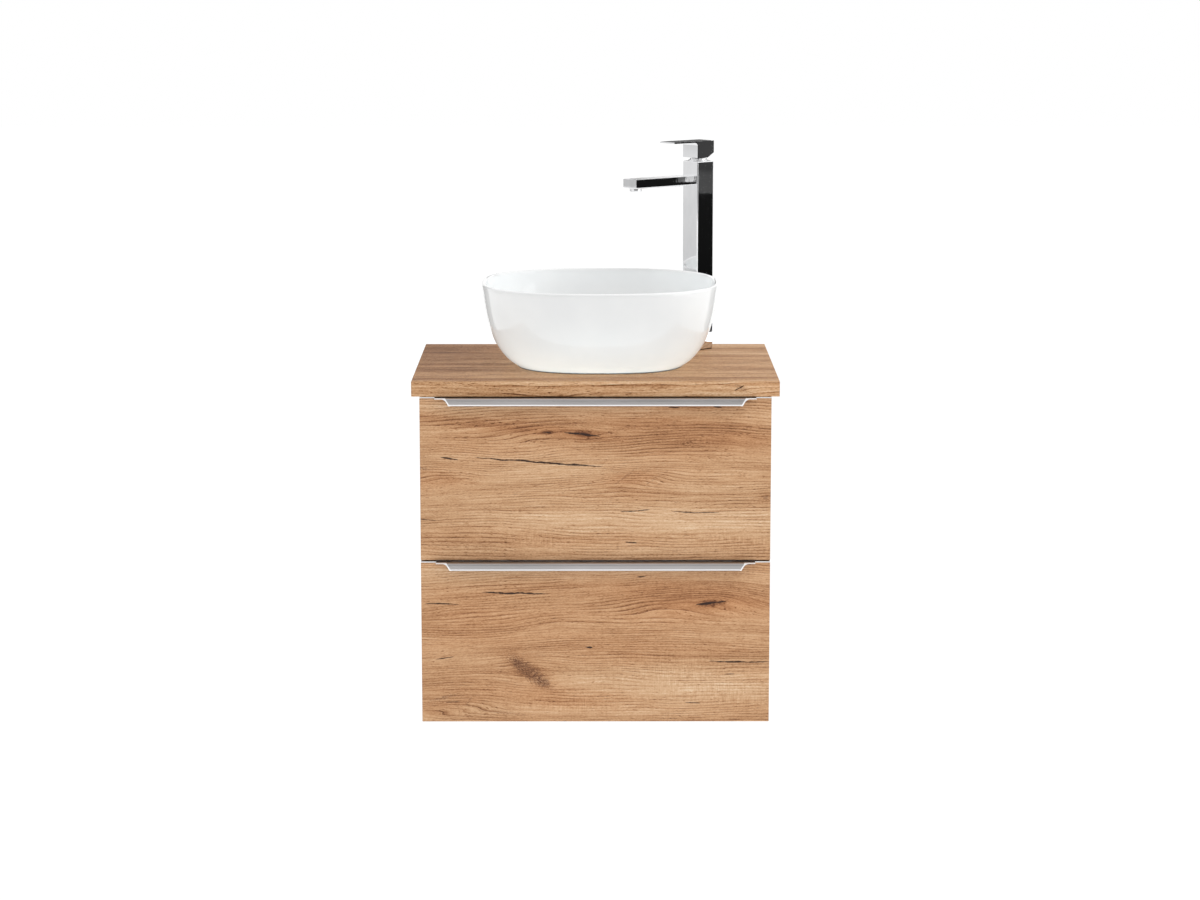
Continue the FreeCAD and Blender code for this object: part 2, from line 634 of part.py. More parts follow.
def lofted(sections):
    return Part.makeLoft([superellipse(h, h, n, z) for h, n, z in sections], True)


def make_basin():
    """A thin-rimmed vitreous china bowl on a flat foot ring."""
    n = BASIN_SQUARENESS
    crown = BASIN_HEIGHT - BASIN_RIM_ROUND
    body = [basin_outer(i / 10) for i in range(11)]
    body = [(half, n, min(z, crown)) for half, z in body]
    outer_top = body[-1][0]
    shell = lofted(body).fuse(Part.makeLoft(
        [superellipse(outer_top, outer_top, n, crown),
         superellipse(outer_top - BASIN_RIM_ROUND, outer_top - BASIN_RIM_ROUND, n, BASIN_HEIGHT)],
        True, True))
    bowl = [(WASTE_FLANGE_R, 2.0, BASIN_FLOOR),
            (BOWL_FLOOR_SHARE * basin_inner(0.0)[0], BOWL_FLOOR_SQUARENESS, BASIN_FLOOR + BOWL_FLOOR_RISE)]
    walls = [basin_inner(i / 8) for i in range(9)]
    bowl += [(half, n, min(z, crown)) for half, z in walls]
    inner_top = bowl[-1][0]
    hollow = lofted(bowl).fuse(Part.makeLoft(
        [superellipse(inner_top, inner_top, n, crown),
         superellipse(inner_top + BASIN_RIM_ROUND, inner_top + BASIN_RIM_ROUND, n, BASIN_HEIGHT)],
        True, True))
    recess_half = BASIN_SIZE / 2 - BASIN_FOOT_INSET - BASIN_FOOT_RING
    recess = Part.Face(superellipse(recess_half, recess_half, n, 0.0)).extrude(UP * BASIN_RECESS)
    seat_low = BASIN_FLOOR - WASTE_SEAT_DEPTH
    seat = rod(WASTE_FLANGE_R + WASTE_HOLE_CLEAR, Vec(0, 0, seat_low), UP, 2 * WASTE_SEAT_DEPTH)
    drain = rod(WASTE_R + WASTE_HOLE_CLEAR, Vec(0, 0, 0), UP, BASIN_FLOOR)
    basin = cut_all(shell, [hollow, recess, seat, drain])
    basin.translate(Vec(BASIN_X, basin_y, basin_foot))
    parts["basin"] = basin

    foot_half = BASIN_SIZE / 2 - BASIN_FOOT_INSET - SEAL_INSET
    bead = Part.Face(superellipse(foot_half, foot_half, n, 0.0)).extrude(UP * SEAL_THICK)
    inside = foot_half - SEAL_WIDTH
    bead = bead.cut(Part.Face(superellipse(inside, inside, n, 0.0)).extrude(UP * SEAL_THICK))
    bead.translate(Vec(BASIN_X, basin_y, top_face))
    parts["basin_seal"] = bead


def rim_reach(dy):
    """How far the rim reaches sideways, dy behind the basin's middle: nothing past its back."""
    half = BASIN_SIZE / 2
    return half * max(0.0, 1 - (dy / half) ** BASIN_SQUARENESS) ** (1 / BASIN_SQUARENESS)


# ---------------------------------------------------------------- waste and trap
def on_drain(z):
    return Vec(BASIN_X, basin_y, z)


def make_waste():
    """Click waste: a flanged tube through basin and worktop, its seals, nut and plug."""
    seat = basin_foot + BASIN_FLOOR - WASTE_SEAT_DEPTH
    flange_low = seat + SEAL_THICK
    flange_top = flange_low + WASTE_FLANGE
    tail = top_under - WASTE_TAIL
    tube = rod(WASTE_FLANGE_R, on_drain(flange_low), UP, WASTE_FLANGE)
    tube = tube.fuse(rod(WASTE_R, on_drain(tail), UP, flange_top - tail))
    tube = tube.cut(rod(WASTE_BORE_R, on_drain(tail), UP, flange_top - tail))
    sleeve_r = PLUG_STEM_R + STEM_CLEAR
    spider_low = flange_top - SPIDER_DROP - SPIDER_HEIGHT
    spider = rod(SPIDER_SLEEVE_R, on_drain(spider_low), UP, SPIDER_HEIGHT)
    reach = WASTE_BORE_R + SPIDER_INTO_TUBE
    arms = (spider_low, spider_low + SPIDER_HEIGHT / 2)
    spider = spider.fuse(box((BASIN_X - reach, BASIN_X + reach),
                             (basin_y - SPIDER_ARM / 2, basin_y + SPIDER_ARM / 2), arms))
    spider = spider.fuse(box((BASIN_X - SPIDER_ARM / 2, BASIN_X + SPIDER_ARM / 2),
                             (basin_y - reach, basin_y + reach), arms))
    spider = spider.cut(rod(sleeve_r, on_drain(spider_low), UP, SPIDER_HEIGHT))
    parts["waste_body"] = tube.fuse(spider).removeSplitter()

    upper_seal = ring(WASTE_FLANGE_R, WASTE_R, on_drain(seat), UP, SEAL_THICK)
    lower_seal = ring(WASTE_NUT_R, WASTE_R, on_drain(top_under - WASTE_WASHER), UP, WASTE_WASHER)
    parts["waste_seals"] = Part.makeCompound([upper_seal, lower_seal])
    nut_low = top_under - WASTE_WASHER - WASTE_NUT
    parts["waste_nut"] = hex_nut(WASTE_NUT_R, WASTE_R, on_drain(nut_low), WASTE_NUT)

    plug_low = flange_top + PLUG_GAP
    disc = rod(PLUG_R, on_drain(plug_low), UP, PLUG_EDGE)
    crown_r = (PLUG_R**2 + PLUG_DOME**2) / (2 * PLUG_DOME)
    rise = plug_low + PLUG_EDGE
    dome = Part.makeSphere(crown_r, on_drain(rise + PLUG_DOME - crown_r))
    dome = dome.common(rod(PLUG_R, on_drain(rise), UP, PLUG_DOME))
    stem = rod(PLUG_STEM_R, on_drain(plug_low - PLUG_STEM), UP, PLUG_STEM)
    parts["waste_plug"] = disc.fuse([dome, stem]).removeSplitter()


def hex_nut(across_corners, bore, low, height):
    corners = [low + Vec(across_corners * cos(radians(60 * i)), across_corners * sin(radians(60 * i)), 0)
               for i in range(7)]
    body = Part.Face(Part.makePolygon(corners)).extrude(UP * height)
    return body.cut(rod(bore, low, UP, height))


def slip_nut(outer, bore, pipe, start, way, length):
    """A round nut with a lip that closes on the pipe at its far end."""
    body = rod(outer, start, way, length)
    body = body.cut(rod(bore, start, way, length - TRAP_NUT_LIP))
    return body.cut(rod(pipe, start, way, length))


def make_trap():
    """Bottle trap: inlet pipe, bottle, cup, slip nuts and the pipe to the wall."""
    tail = top_under - WASTE_TAIL
    dip_end = cup_low + BOTTLE_WALL + DIP_CLEAR
    bore = PIPE_R - PIPE_WALL
    pipe = rod(PIPE_R, on_drain(dip_end), UP, tail - dip_end)
    pipe = pipe.fuse(rod(NECK_R, on_drain(tail - TRAP_FLANGE), UP, TRAP_FLANGE))
    parts["trap_inlet_pipe"] = pipe.cut(rod(bore, on_drain(dip_end), UP, tail - dip_end))

    body = rod(BOTTLE_R, on_drain(bottle_low), UP, BOTTLE_HEIGHT)
    body = body.fuse(rod(NECK_R, on_drain(shoulder), UP, NECK_LENGTH))
    collar_y = basin_y + BOTTLE_R + NECK_LENGTH
    collar = rod(NECK_R, on_drain(outlet_z), BACK, collar_y - basin_y)
    body = body.fuse(collar)
    body = body.cut(rod(BOTTLE_R - BOTTLE_WALL, on_drain(bottle_low), UP, BOTTLE_HEIGHT - BOTTLE_WALL))
    body = body.cut(rod(PIPE_R, on_drain(shoulder - BOTTLE_WALL), UP, NECK_LENGTH + BOTTLE_WALL))
    body = body.cut(rod(PIPE_R, on_drain(outlet_z), BACK, collar_y - basin_y))
    parts["trap_bottle"] = body

    cup = rod(BOTTLE_R, on_drain(cup_low), UP, CUP_HEIGHT)
    cup = cup.makeFillet(BOTTLE_WALL, [e for e in cup.Edges if abs(e.CenterOfMass.z - cup_low) < 0.1
                                       and e.Closed])
    cup = cup.cut(rod(BOTTLE_R - BOTTLE_WALL, on_drain(cup_low + BOTTLE_WALL), UP,
                      CUP_HEIGHT - BOTTLE_WALL))
    parts["trap_cup"] = cup

    nut_length = NECK_LENGTH + TRAP_NUT_LIP
    waste_nut_length = nut_length + TRAP_FLANGE
    top_nut = slip_nut(TRAP_NUT_R, WASTE_R, PIPE_R, on_drain(tail + NECK_LENGTH), -UP, waste_nut_length)
    neck_nut = slip_nut(NECK_NUT_R, NECK_R, PIPE_R, on_drain(shoulder), UP, nut_length)
    outlet_nut = slip_nut(NECK_NUT_R, NECK_R, PIPE_R,
                          Vec(BASIN_X, basin_y + BOTTLE_R, outlet_z), BACK, nut_length)
    outlet_nut = outlet_nut.cut(rod(BOTTLE_R, on_drain(bottle_low), UP, BOTTLE_HEIGHT))
    parts["trap_nuts"] = Part.makeCompound([top_nut, neck_nut, outlet_nut])

    pipe_start = Vec(BASIN_X, basin_y + BOTTLE_R, outlet_z)
    run = OUTLET_PAST_WALL - pipe_start.y
    outlet = ring(PIPE_R, bore, pipe_start, BACK, run)
    mark = ring(PIPE_R, PIPE_R - DEPTH_MARK_SINK, Vec(BASIN_X, 0, outlet_z), BACK, DEPTH_MARK)
    parts["trap_outlet_pipe"] = outlet.cut(mark)
    rosette = Part.makeCone(PIPE_R + ROSETTE_NECK, ROSETTE_R, ROSETTE, Vec(BASIN_X, -ROSETTE, outlet_z), BACK)
    parts["wall_rosette"] = rosette.cut(rod(PIPE_R, Vec(BASIN_X, -ROSETTE, outlet_z), BACK, ROSETTE))


# ---------------------------------------------------------------- tap
# The tap is drawn with its spout along +X and its axis on Z, from the worktop's face up,
# and then turned and set in place.
def near_corner():
    """The tap's corner that points at the basin's rim, from the tap's axis."""
    half = TAP_SIDE / 2
    turn = radians(TAP_TURN)
    return Vec(half * (cos(turn) - sin(turn)), -half * (cos(turn) + sin(turn)), 0)


tap_y = -TAP_WALL_GAP
tap_x = (BASIN_X + rim_reach(tap_y + near_corner().y - basin_y) + TAP_RIM_GAP - near_corner().x)


def place_tap(shape):
    shape.rotate(Vec(0, 0, 0), UP, -(90.0 + TAP_TURN))
    shape.translate(Vec(tap_x, tap_y, top_face))
    return shape


def square_bar(half, z):
    return box((-half, half), (-half, half), z)


def rounded_along(shape, radius, way):
    """Fillets the straight edges that run along one direction."""
    chosen = []
    for edge in shape.Edges:
        if isinstance(edge.Curve, Part.Line) and abs(abs(edge.Curve.Direction.dot(way)) - 1) < 1e-6:
            chosen.append(edge)
    return shape.makeFillet(radius, chosen)


def make_tap_body():
    half = TAP_SIDE / 2
    column = rounded_along(square_bar(half, (TAP_SEAL, COLUMN_HEIGHT)), TAP_EDGE, UP)
    bay = COLUMN_HEIGHT - CARTRIDGE_DEPTH
    hollow = rounded_along(square_bar(half - TAP_WALL, (TAP_FLOOR, bay - TAP_WALL)), TAP_EDGE, UP)
    column = column.cut(hollow)
    column = column.cut(rod(CARTRIDGE_R, Vec(0, 0, bay), UP, CARTRIDGE_DEPTH))
    for side in (-1, 1):
        column = column.cut(rod(INLET_R, Vec(0, side * INLET_OFFSET, TAP_SEAL), UP, TAP_FLOOR - TAP_SEAL))
        column = column.cut(rod(INLET_R / 2, Vec(0, side * INLET_OFFSET, bay - TAP_WALL), UP, TAP_WALL))
    spout_mid = SPOUT_UNDER + SPOUT_HEIGHT / 2
    spigot_wall = half - CARTRIDGE_R
    spigot = rod(SPOUT_SPIGOT_R, Vec(half - spigot_wall / 2, 0, spout_mid), RIGHT, spigot_wall / 2)
    waterway = rod(SPOUT_SPIGOT_R / 2, Vec(CARTRIDGE_R - 1, 0, spout_mid), RIGHT, spigot_wall)
    column = column.cut(spigot).cut(waterway)

    low, high = SPOUT_UNDER, SPOUT_UNDER + SPOUT_HEIGHT
    wide = (-SPOUT_WIDTH / 2, SPOUT_WIDTH / 2)
    spout = rounded_along(box((half, SPOUT_REACH), wide, (low, high)), TAP_EDGE, RIGHT)
    inside = box((half + 2 * SPOUT_WALL, SPOUT_REACH - SPOUT_WALL),
                 (wide[0] + SPOUT_WALL, wide[1] - SPOUT_WALL), (low + SPOUT_WALL, high - SPOUT_WALL))
    outlet = Vec(SPOUT_REACH - AERATOR_SET, 0, low)
    spout = spout.cut(inside).fuse(spigot)
    spout = spout.cut(rod(SPOUT_SPIGOT_R / 2, Vec(half - spigot_wall, 0, spout_mid), RIGHT,
                          spigot_wall + 2 * SPOUT_WALL))
    spout = spout.cut(rod(AERATOR_R, outlet, UP, SPOUT_WALL))

    housing = ring(AERATOR_R, AERATOR_R - AERATOR_LIP, outlet - UP * AERATOR_DROP, UP,
                   AERATOR_DROP + SPOUT_WALL)
    insert = rod(AERATOR_R - AERATOR_LIP, outlet - UP * (AERATOR_DROP - AERATOR_SHY), UP, AERATOR_DROP)
    for i in range(AERATOR_HOLES):
        turn = radians(360 * i / AERATOR_HOLES)
        aside = Vec(AERATOR_HOLE_RING * cos(turn), AERATOR_HOLE_RING * sin(turn), -AERATOR_DROP)
        insert = insert.cut(rod(AERATOR_HOLE_R, outlet + aside, UP, 2 * AERATOR_DROP))
    seal_half = half - TAP_EDGE
    seal = square_bar(seal_half, (0, TAP_SEAL)).cut(rod(SHANK_R, Vec(0, 0, 0), UP, TAP_SEAL))
    shank = ring(SHANK_R, SHANK_BORE_R, Vec(0, 0, -SHANK_LENGTH), UP, TAP_SEAL + SHANK_LENGTH)
    washer_low = -TOP_THICK - SHANK_WASHER
    washer = ring(SHANK_NUT_R + SHANK_WASHER_RIM, SHANK_R, Vec(0, 0, washer_low), UP, SHANK_WASHER)
    nut = hex_nut(SHANK_NUT_R, SHANK_R, Vec(0, 0, washer_low - SHANK_NUT), SHANK_NUT)
    for name, shape in (("tap_column", column), ("tap_spout", spout), ("aerator_housing", housing),
                        ("aerator_insert", insert), ("tap_seal", seal), ("tap_shank", shank),
                        ("tap_washer", washer), ("tap_nut", nut)):
        parts[name] = place_tap(shape)


def make_cartridge():
    """The valve under the lever: body, nut, collar, and the turning rotor with its pivot pin."""
    bay = COLUMN_HEIGHT - CARTRIDGE_DEPTH
    nut_top = COLUMN_HEIGHT
    nut_low = nut_top - CARTRIDGE_NUT
    rotor_low = COLUMN_HEIGHT - ROTOR_DEPTH
    rotor_room = ROTOR_R + ROTOR_CLEAR
    body = rod(CARTRIDGE_R, Vec(0, 0, bay), UP, nut_low - bay)
    body = body.cut(rod(rotor_room, Vec(0, 0, rotor_low - ROTOR_CLEAR), UP, CARTRIDGE_DEPTH))
    nut = ring(CARTRIDGE_R, CARTRIDGE_NUT_BORE, Vec(0, 0, nut_low), UP, CARTRIDGE_NUT)
    collar = Part.makeCone(COLLAR_R, COLLAR_TOP_R, COLLAR_HEIGHT, Vec(0, 0, COLUMN_HEIGHT), UP)
    collar = collar.cut(rod(CARTRIDGE_NUT_BORE + COLLAR_BORE_CLEAR, Vec(0, 0, COLUMN_HEIGHT), UP, COLLAR_HEIGHT))
    pivot_z = COLUMN_HEIGHT - PIVOT_DROP
    rotor = rod(ROTOR_R, Vec(0, 0, rotor_low), UP, ROTOR_DEPTH + ROTOR_PROUD)
    slot_half = STEM_SIDE / 2 + STEM_CLEAR
    slot = box((-STEM_SWING, STEM_SWING), (-slot_half, slot_half),
               (pivot_z - STEM_BELOW - 2 * STEM_CLEAR, COLUMN_HEIGHT + ROTOR_PROUD))
    pin_half = ROTOR_R - PIVOT_SHY
    pin = rod(PIVOT_R, Vec(0, -pin_half, pivot_z), BACK, 2 * pin_half)
    rotor = rotor.cut(slot).fuse(pin)
    for name, shape in (("cartridge_body", body), ("cartridge_nut", nut),
                        ("cartridge_collar", collar), ("cartridge_rotor", rotor)):
        parts[name] = place_tap(shape)


def make_lever():
    """The lever: a hollow block with a thin plate off its top, on the cartridge's stem."""
    half = TAP_SIDE / 2
    low = COLUMN_HEIGHT + LEVER_GAP
    top = low + LEVER_BLOCK
    plate_low = top - LEVER_PLATE
    tip = LEVER_REACH - half
    outline = [Vec(-half, -half, low + LEVER_BEVEL_RISE), Vec(-half + LEVER_BEVEL_LENGTH, -half, low),
               Vec(half, -half, low)]
    bend_low = Vec(half, -half, plate_low - LEVER_ROOT)
    bend_out = Vec(half + LEVER_ROOT, -half, plate_low)
    shy = LEVER_ROOT * (1 - sin(radians(45)))
    bend_mid = Vec(half + shy, -half, plate_low - shy)
    rest = [Vec(tip, -half, plate_low), Vec(tip, -half, top), Vec(-half, -half, top)]
    chain = outline + [bend_low]
    edges = [Part.LineSegment(a, b).toShape() for a, b in zip(chain, chain[1:])]
    edges.append(Part.Arc(bend_low, bend_mid, bend_out).toShape())
    chain = [bend_out] + rest + [outline[0]]
    edges += [Part.LineSegment(a, b).toShape() for a, b in zip(chain, chain[1:])]
    lever = Part.Face(Part.Wire(edges)).extrude(Vec(0, TAP_SIDE, 0))
    room = half - LEVER_WALL
    lever = lever.cut(box((-room, room), (-room, room), (low, top - LEVER_ROOF)))
    stem_half = STEM_SIDE / 2
    boss_half = stem_half + LEVER_WALL
    boss_low = top - LEVER_ROOF - LEVER_BOSS
    lever = lever.fuse(box((-boss_half, boss_half), (-boss_half, boss_half),
                           (boss_low, top - LEVER_ROOF)))
    rib = box((-room, -boss_half), (-boss_half, boss_half), (boss_low, top - LEVER_ROOF))
    lever = lever.fuse(rib)
    pivot_z = COLUMN_HEIGHT - PIVOT_DROP
    stem_top = top - LEVER_ROOF + STEM_INTO_ROOF
    stem = square_bar(stem_half, (pivot_z - STEM_BELOW, stem_top))
    lever = lever.cut(square_bar(stem_half, (low, stem_top)))
    stem = stem.cut(rod(PIVOT_R + PIVOT_CLEAR, Vec(0, -half, pivot_z), BACK, TAP_SIDE))
    screw_z = top - LEVER_SCREW_UP
    screw_run = half - stem_half
    screw_hole = rod(LEVER_SCREW_R, Vec(-half, 0, screw_z), RIGHT, screw_run)
    screw = rod(LEVER_SCREW_R, Vec(-half + LEVER_SCREW_SET, 0, screw_z), RIGHT,
                screw_run - LEVER_SCREW_SET)
    lever = lever.cut(screw_hole).removeSplitter()
    for name, shape in (("lever", lever), ("cartridge_stem", stem), ("lever_screw", screw)):
        parts[name] = place_tap(shape)


# ---------------------------------------------------------------- assembly
boards = make_carcass()
make_hangers()
screws = make_drawer("upper", upper_front_top, upper_box_low, boards, well=True)
screws += make_drawer("lower", lower_front_top, lower_box_low, boards, well=False)
worktop, top_screws = fasten_worktop(boards, make_worktop())
parts["worktop"] = worktop
parts["carcass_screws"] = Part.makeCompound(screws + top_screws)
parts.update(boards)
make_basin()
make_waste()
make_trap()
make_tap_body()
make_cartridge()
make_lever()

os.makedirs("parts", exist_ok=True)
for name, shape in sorted(parts.items()):
    shape.exportStep(f"parts/{name}.step")
turn = degrees(atan2(-cos(radians(TAP_TURN)), -sin(radians(TAP_TURN))))
print(len(parts), "nodes; tap at", round(tap_x, 3), tap_y, "pointing", round(turn, 2),
      "; lever pivot at Z", top_face + COLUMN_HEIGHT - PIVOT_DROP)
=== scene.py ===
import json
from math import cos, pi, radians, sin

import bmesh
import bpy
from mathutils import Matrix, Vector

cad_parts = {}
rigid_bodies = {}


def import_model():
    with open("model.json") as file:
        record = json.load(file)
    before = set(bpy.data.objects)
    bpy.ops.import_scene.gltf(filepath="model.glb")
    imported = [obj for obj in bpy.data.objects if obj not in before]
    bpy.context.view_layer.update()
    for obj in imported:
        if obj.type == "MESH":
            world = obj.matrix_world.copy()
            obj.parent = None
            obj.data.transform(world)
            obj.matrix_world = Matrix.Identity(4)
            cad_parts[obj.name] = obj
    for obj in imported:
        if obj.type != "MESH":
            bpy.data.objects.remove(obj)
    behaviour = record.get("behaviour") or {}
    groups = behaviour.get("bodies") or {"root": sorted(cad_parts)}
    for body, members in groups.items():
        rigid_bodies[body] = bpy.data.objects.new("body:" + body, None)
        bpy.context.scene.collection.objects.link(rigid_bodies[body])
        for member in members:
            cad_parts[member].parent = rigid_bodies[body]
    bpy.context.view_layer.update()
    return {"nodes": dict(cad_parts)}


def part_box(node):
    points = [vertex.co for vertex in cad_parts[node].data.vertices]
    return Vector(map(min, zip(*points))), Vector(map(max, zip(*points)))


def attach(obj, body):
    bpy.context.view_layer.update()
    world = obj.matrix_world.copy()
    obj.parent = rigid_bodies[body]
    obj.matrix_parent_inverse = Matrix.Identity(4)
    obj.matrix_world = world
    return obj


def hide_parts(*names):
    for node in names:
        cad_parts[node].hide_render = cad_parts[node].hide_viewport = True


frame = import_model()
nodes = frame["nodes"]


# ---------------------------------------------------------------- inner boards
# Drawer sides, bottoms, backs and the boards round the trap: chipboard faced with matt
# warm-white melamine that has a faint linen weave. They are sawn to size, so their finish is
# the same on every face.
class Signal:
    """A number that changes over a surface, for reckoning with as in any formula."""

    def __init__(self, finish, socket):
        self.finish = finish
        self.socket = socket

    def reckon(self, operation, *others, clamp=False):
        """Adds a Math node that works on this signal and the others."""
        settings = {"operation": operation, "use_clamp": clamp}
        values = dict(enumerate((self,) + others))
        return self.finish.node("ShaderNodeMath", settings, values)

    def __add__(self, other):
        return self.reckon("ADD", other)

    def __radd__(self, other):
        return self.reckon("ADD", other)

    def __sub__(self, other):
        return self.reckon("SUBTRACT", other)

    def __rsub__(self, other):
        return (self * -1.0).reckon("ADD", other)

    def __mul__(self, other):
        return self.reckon("MULTIPLY", other)

    def __rmul__(self, other):
        return self.reckon("MULTIPLY", other)

    def __truediv__(self, other):
        if isinstance(other, Signal):
            return self.reckon("DIVIDE", other)
        return self.reckon("MULTIPLY", 1.0 / other)

    def __rtruediv__(self, other):
        return self.reckon("POWER", -1.0) * other

    def __pow__(self, other):
        return self.reckon("POWER", other)

    def __abs__(self):
        return self.reckon("ABSOLUTE")

    def kept(self):
        """The same, held between 0 and 1."""
        return self.reckon("ADD", 0.0, clamp=True)

    def fraction(self):
        """What is left over a whole number, so that a pattern repeats."""
        return self.reckon("FRACT")

    def most(self, other):
        """The greater of the two, point by point."""
        return self.reckon("MAXIMUM", other)


class Finish:
    """One material: its shader, its nodes, and the places and patterns they work from."""

    def __init__(self, name):
        self.material = bpy.data.materials.new(name)
        self.material.use_nodes = True
        self.tree = self.material.node_tree
        self.shader = self.tree.nodes["Principled BSDF"]

    def node(self, kind, settings, values, out=0):
        """Adds a node: its settings first, then a value or a signal for each socket."""
        made = self.tree.nodes.new(kind)
        stops = settings.pop("stops", None)
        for name, value in settings.items():
            setattr(made, name, value)
        if stops:
            ramp = made.color_ramp
            while len(ramp.elements) < len(stops):
                ramp.elements.new(0.5)
            for element, (place, colour) in zip(ramp.elements, stops):
                element.position = place
                element.color = (*colour, 1.0)
        for name, value in values.items():
            self.feed(made.inputs[name], value)
        return Signal(self, made.outputs[out])

    def feed(self, socket, value):
        if isinstance(value, Signal):
            self.tree.links.new(value.socket, socket)
        elif isinstance(value, tuple) and len(socket.default_value) == 4:
            socket.default_value = (*value, 1.0)
        else:
            socket.default_value = value

    def place(self):
        """Where a point of the surface is, in millimetres: X, Y and Z."""
        spot = self.node("ShaderNodeTexCoord", {}, {}, "Object")
        apart = self.node("ShaderNodeSeparateXYZ", {}, {0: spot})
        axes = [Signal(self, apart.socket.node.outputs[i]) for i in range(3)]
        return [axis * 1000.0 for axis in axes]

    def point(self, x, y, z):
        return self.node("ShaderNodeCombineXYZ", {}, {0: x, 1: y, 2: z})

    def noise(self, x, y, z, detail=2.0, rough=0.5):
        """Soft noise of mean 0.5 whose patches are about 1 across in each of x, y and z."""
        values = {"Vector": self.point(x, y, z), "Scale": 1.0, "Detail": detail, "Roughness": rough}
        return self.node("ShaderNodeTexNoise", {}, values, "Fac")

    def ramp(self, signal, stops):
        """A colour picked by the signal from (place, colour) stops."""
        return self.node("ShaderNodeValToRGB", {"stops": stops}, {"Fac": signal}, "Color")

    def mixed(self, amount, first, second, way="MIX"):
        """Two colours mixed: amount 0 gives the first."""
        settings = {"data_type": "RGBA", "blend_type": way}
        return self.node("ShaderNodeMix", settings, {0: amount, 6: first, 7: second}, 2)

    def bump(self, height, depth):
        """A bumpy normal: height in parts of depth, which is in metres."""
        return self.node("ShaderNodeBump", {}, {"Height": height, "Strength": 1.0, "Distance": depth})

    def set(self, **values):
        """Sets the shader's sockets, by their names with underscores."""
        for name, value in values.items():
            self.feed(self.shader.inputs[name.replace("_", " ")], value)
        return self

    def onto(self, *pieces):
        """Gives the pieces this finish all over."""
        for piece in pieces:
            if not piece.data.materials:
                piece.data.materials.append(self.material)
            for slot in piece.material_slots:
                slot.material = self.material


melamine = Finish("melamine")
x, y, z = melamine.place()
weave = melamine.noise(x / 0.9, y / 0.9, z / 14.0) + melamine.noise(x / 14.0, y / 14.0, z / 0.9)
cloud = melamine.noise(x / 60.0, y / 60.0, z / 60.0, 3.0)
melamine.set(
    Base_Color=melamine.ramp((weave - 1.0) * 0.9 + (cloud - 0.5) * 0.5 + 0.5,
                             [(0.2, (0.60, 0.585, 0.55)), (0.8, (0.71, 0.70, 0.67))]),
    Roughness=0.55 - (weave - 1.0) * 0.25,
    Normal=melamine.bump(weave, 0.00006),
)
melamine.onto(*[nodes[name] for name in (
    "upper_side_left", "upper_side_right", "upper_bottom", "upper_back", "upper_trap_well",
    "lower_side_left", "lower_side_right", "lower_bottom", "lower_back")])


# ---------------------------------------------------------------- oak carcass
# The cabinet's sides, bottom and rails: the same chipboard, faced and edged with an oak-pattern
# laminate. Its grain runs level, front to back on the sides and left to right elsewhere.
OAK_STAIN = (0.125, 0.050, 0.025)
OAK_SPLIT = (0.030, 0.014, 0.010)
OAK_WARM_TINT = (1.0, 0.86, 0.76)
OAK_SHADES = [(0.0, (0.130, 0.052, 0.021)), (0.20, (0.300, 0.143, 0.064)),
              (0.38, (0.435, 0.232, 0.113)), (0.50, (0.515, 0.293, 0.151)),
              (0.64, (0.600, 0.366, 0.203)), (0.82, (0.690, 0.462, 0.282)),
              (1.0, (0.780, 0.580, 0.390))]


def patch(u, v, spot):
    """1 in the middle of a tilted oval and near 0 beyond its edge; spot is its u, v, half
    length, half width and tilt in degrees."""
    du, dv = u - spot[0], v - spot[1]
    c, s = cos(radians(spot[4])), sin(radians(spot[4]))
    along = (du * c + dv * s) / spot[2]
    over = (dv * c - du * s) / spot[3]
    return 1.0 / (1.0 + (along * along + over * over) ** 2.0)


def crack(u, v, wander, ragged, line):
    """A thin split that tapers at both ends; line is u, v of its ends and its half width."""
    u0, v0, u1, v1, half = line
    t = (u - u0) / (u1 - u0)
    swell = t * (1.0 - t) * 4.0
    off = abs(v - v0 - t * (v1 - v0) - (wander - 0.5) * min(9.0, 0.10 * (u1 - u0)))
    return (((swell ** 0.5) * ragged * half - off) * 1.5 + 0.4).kept() * (swell * 9.0).kept()


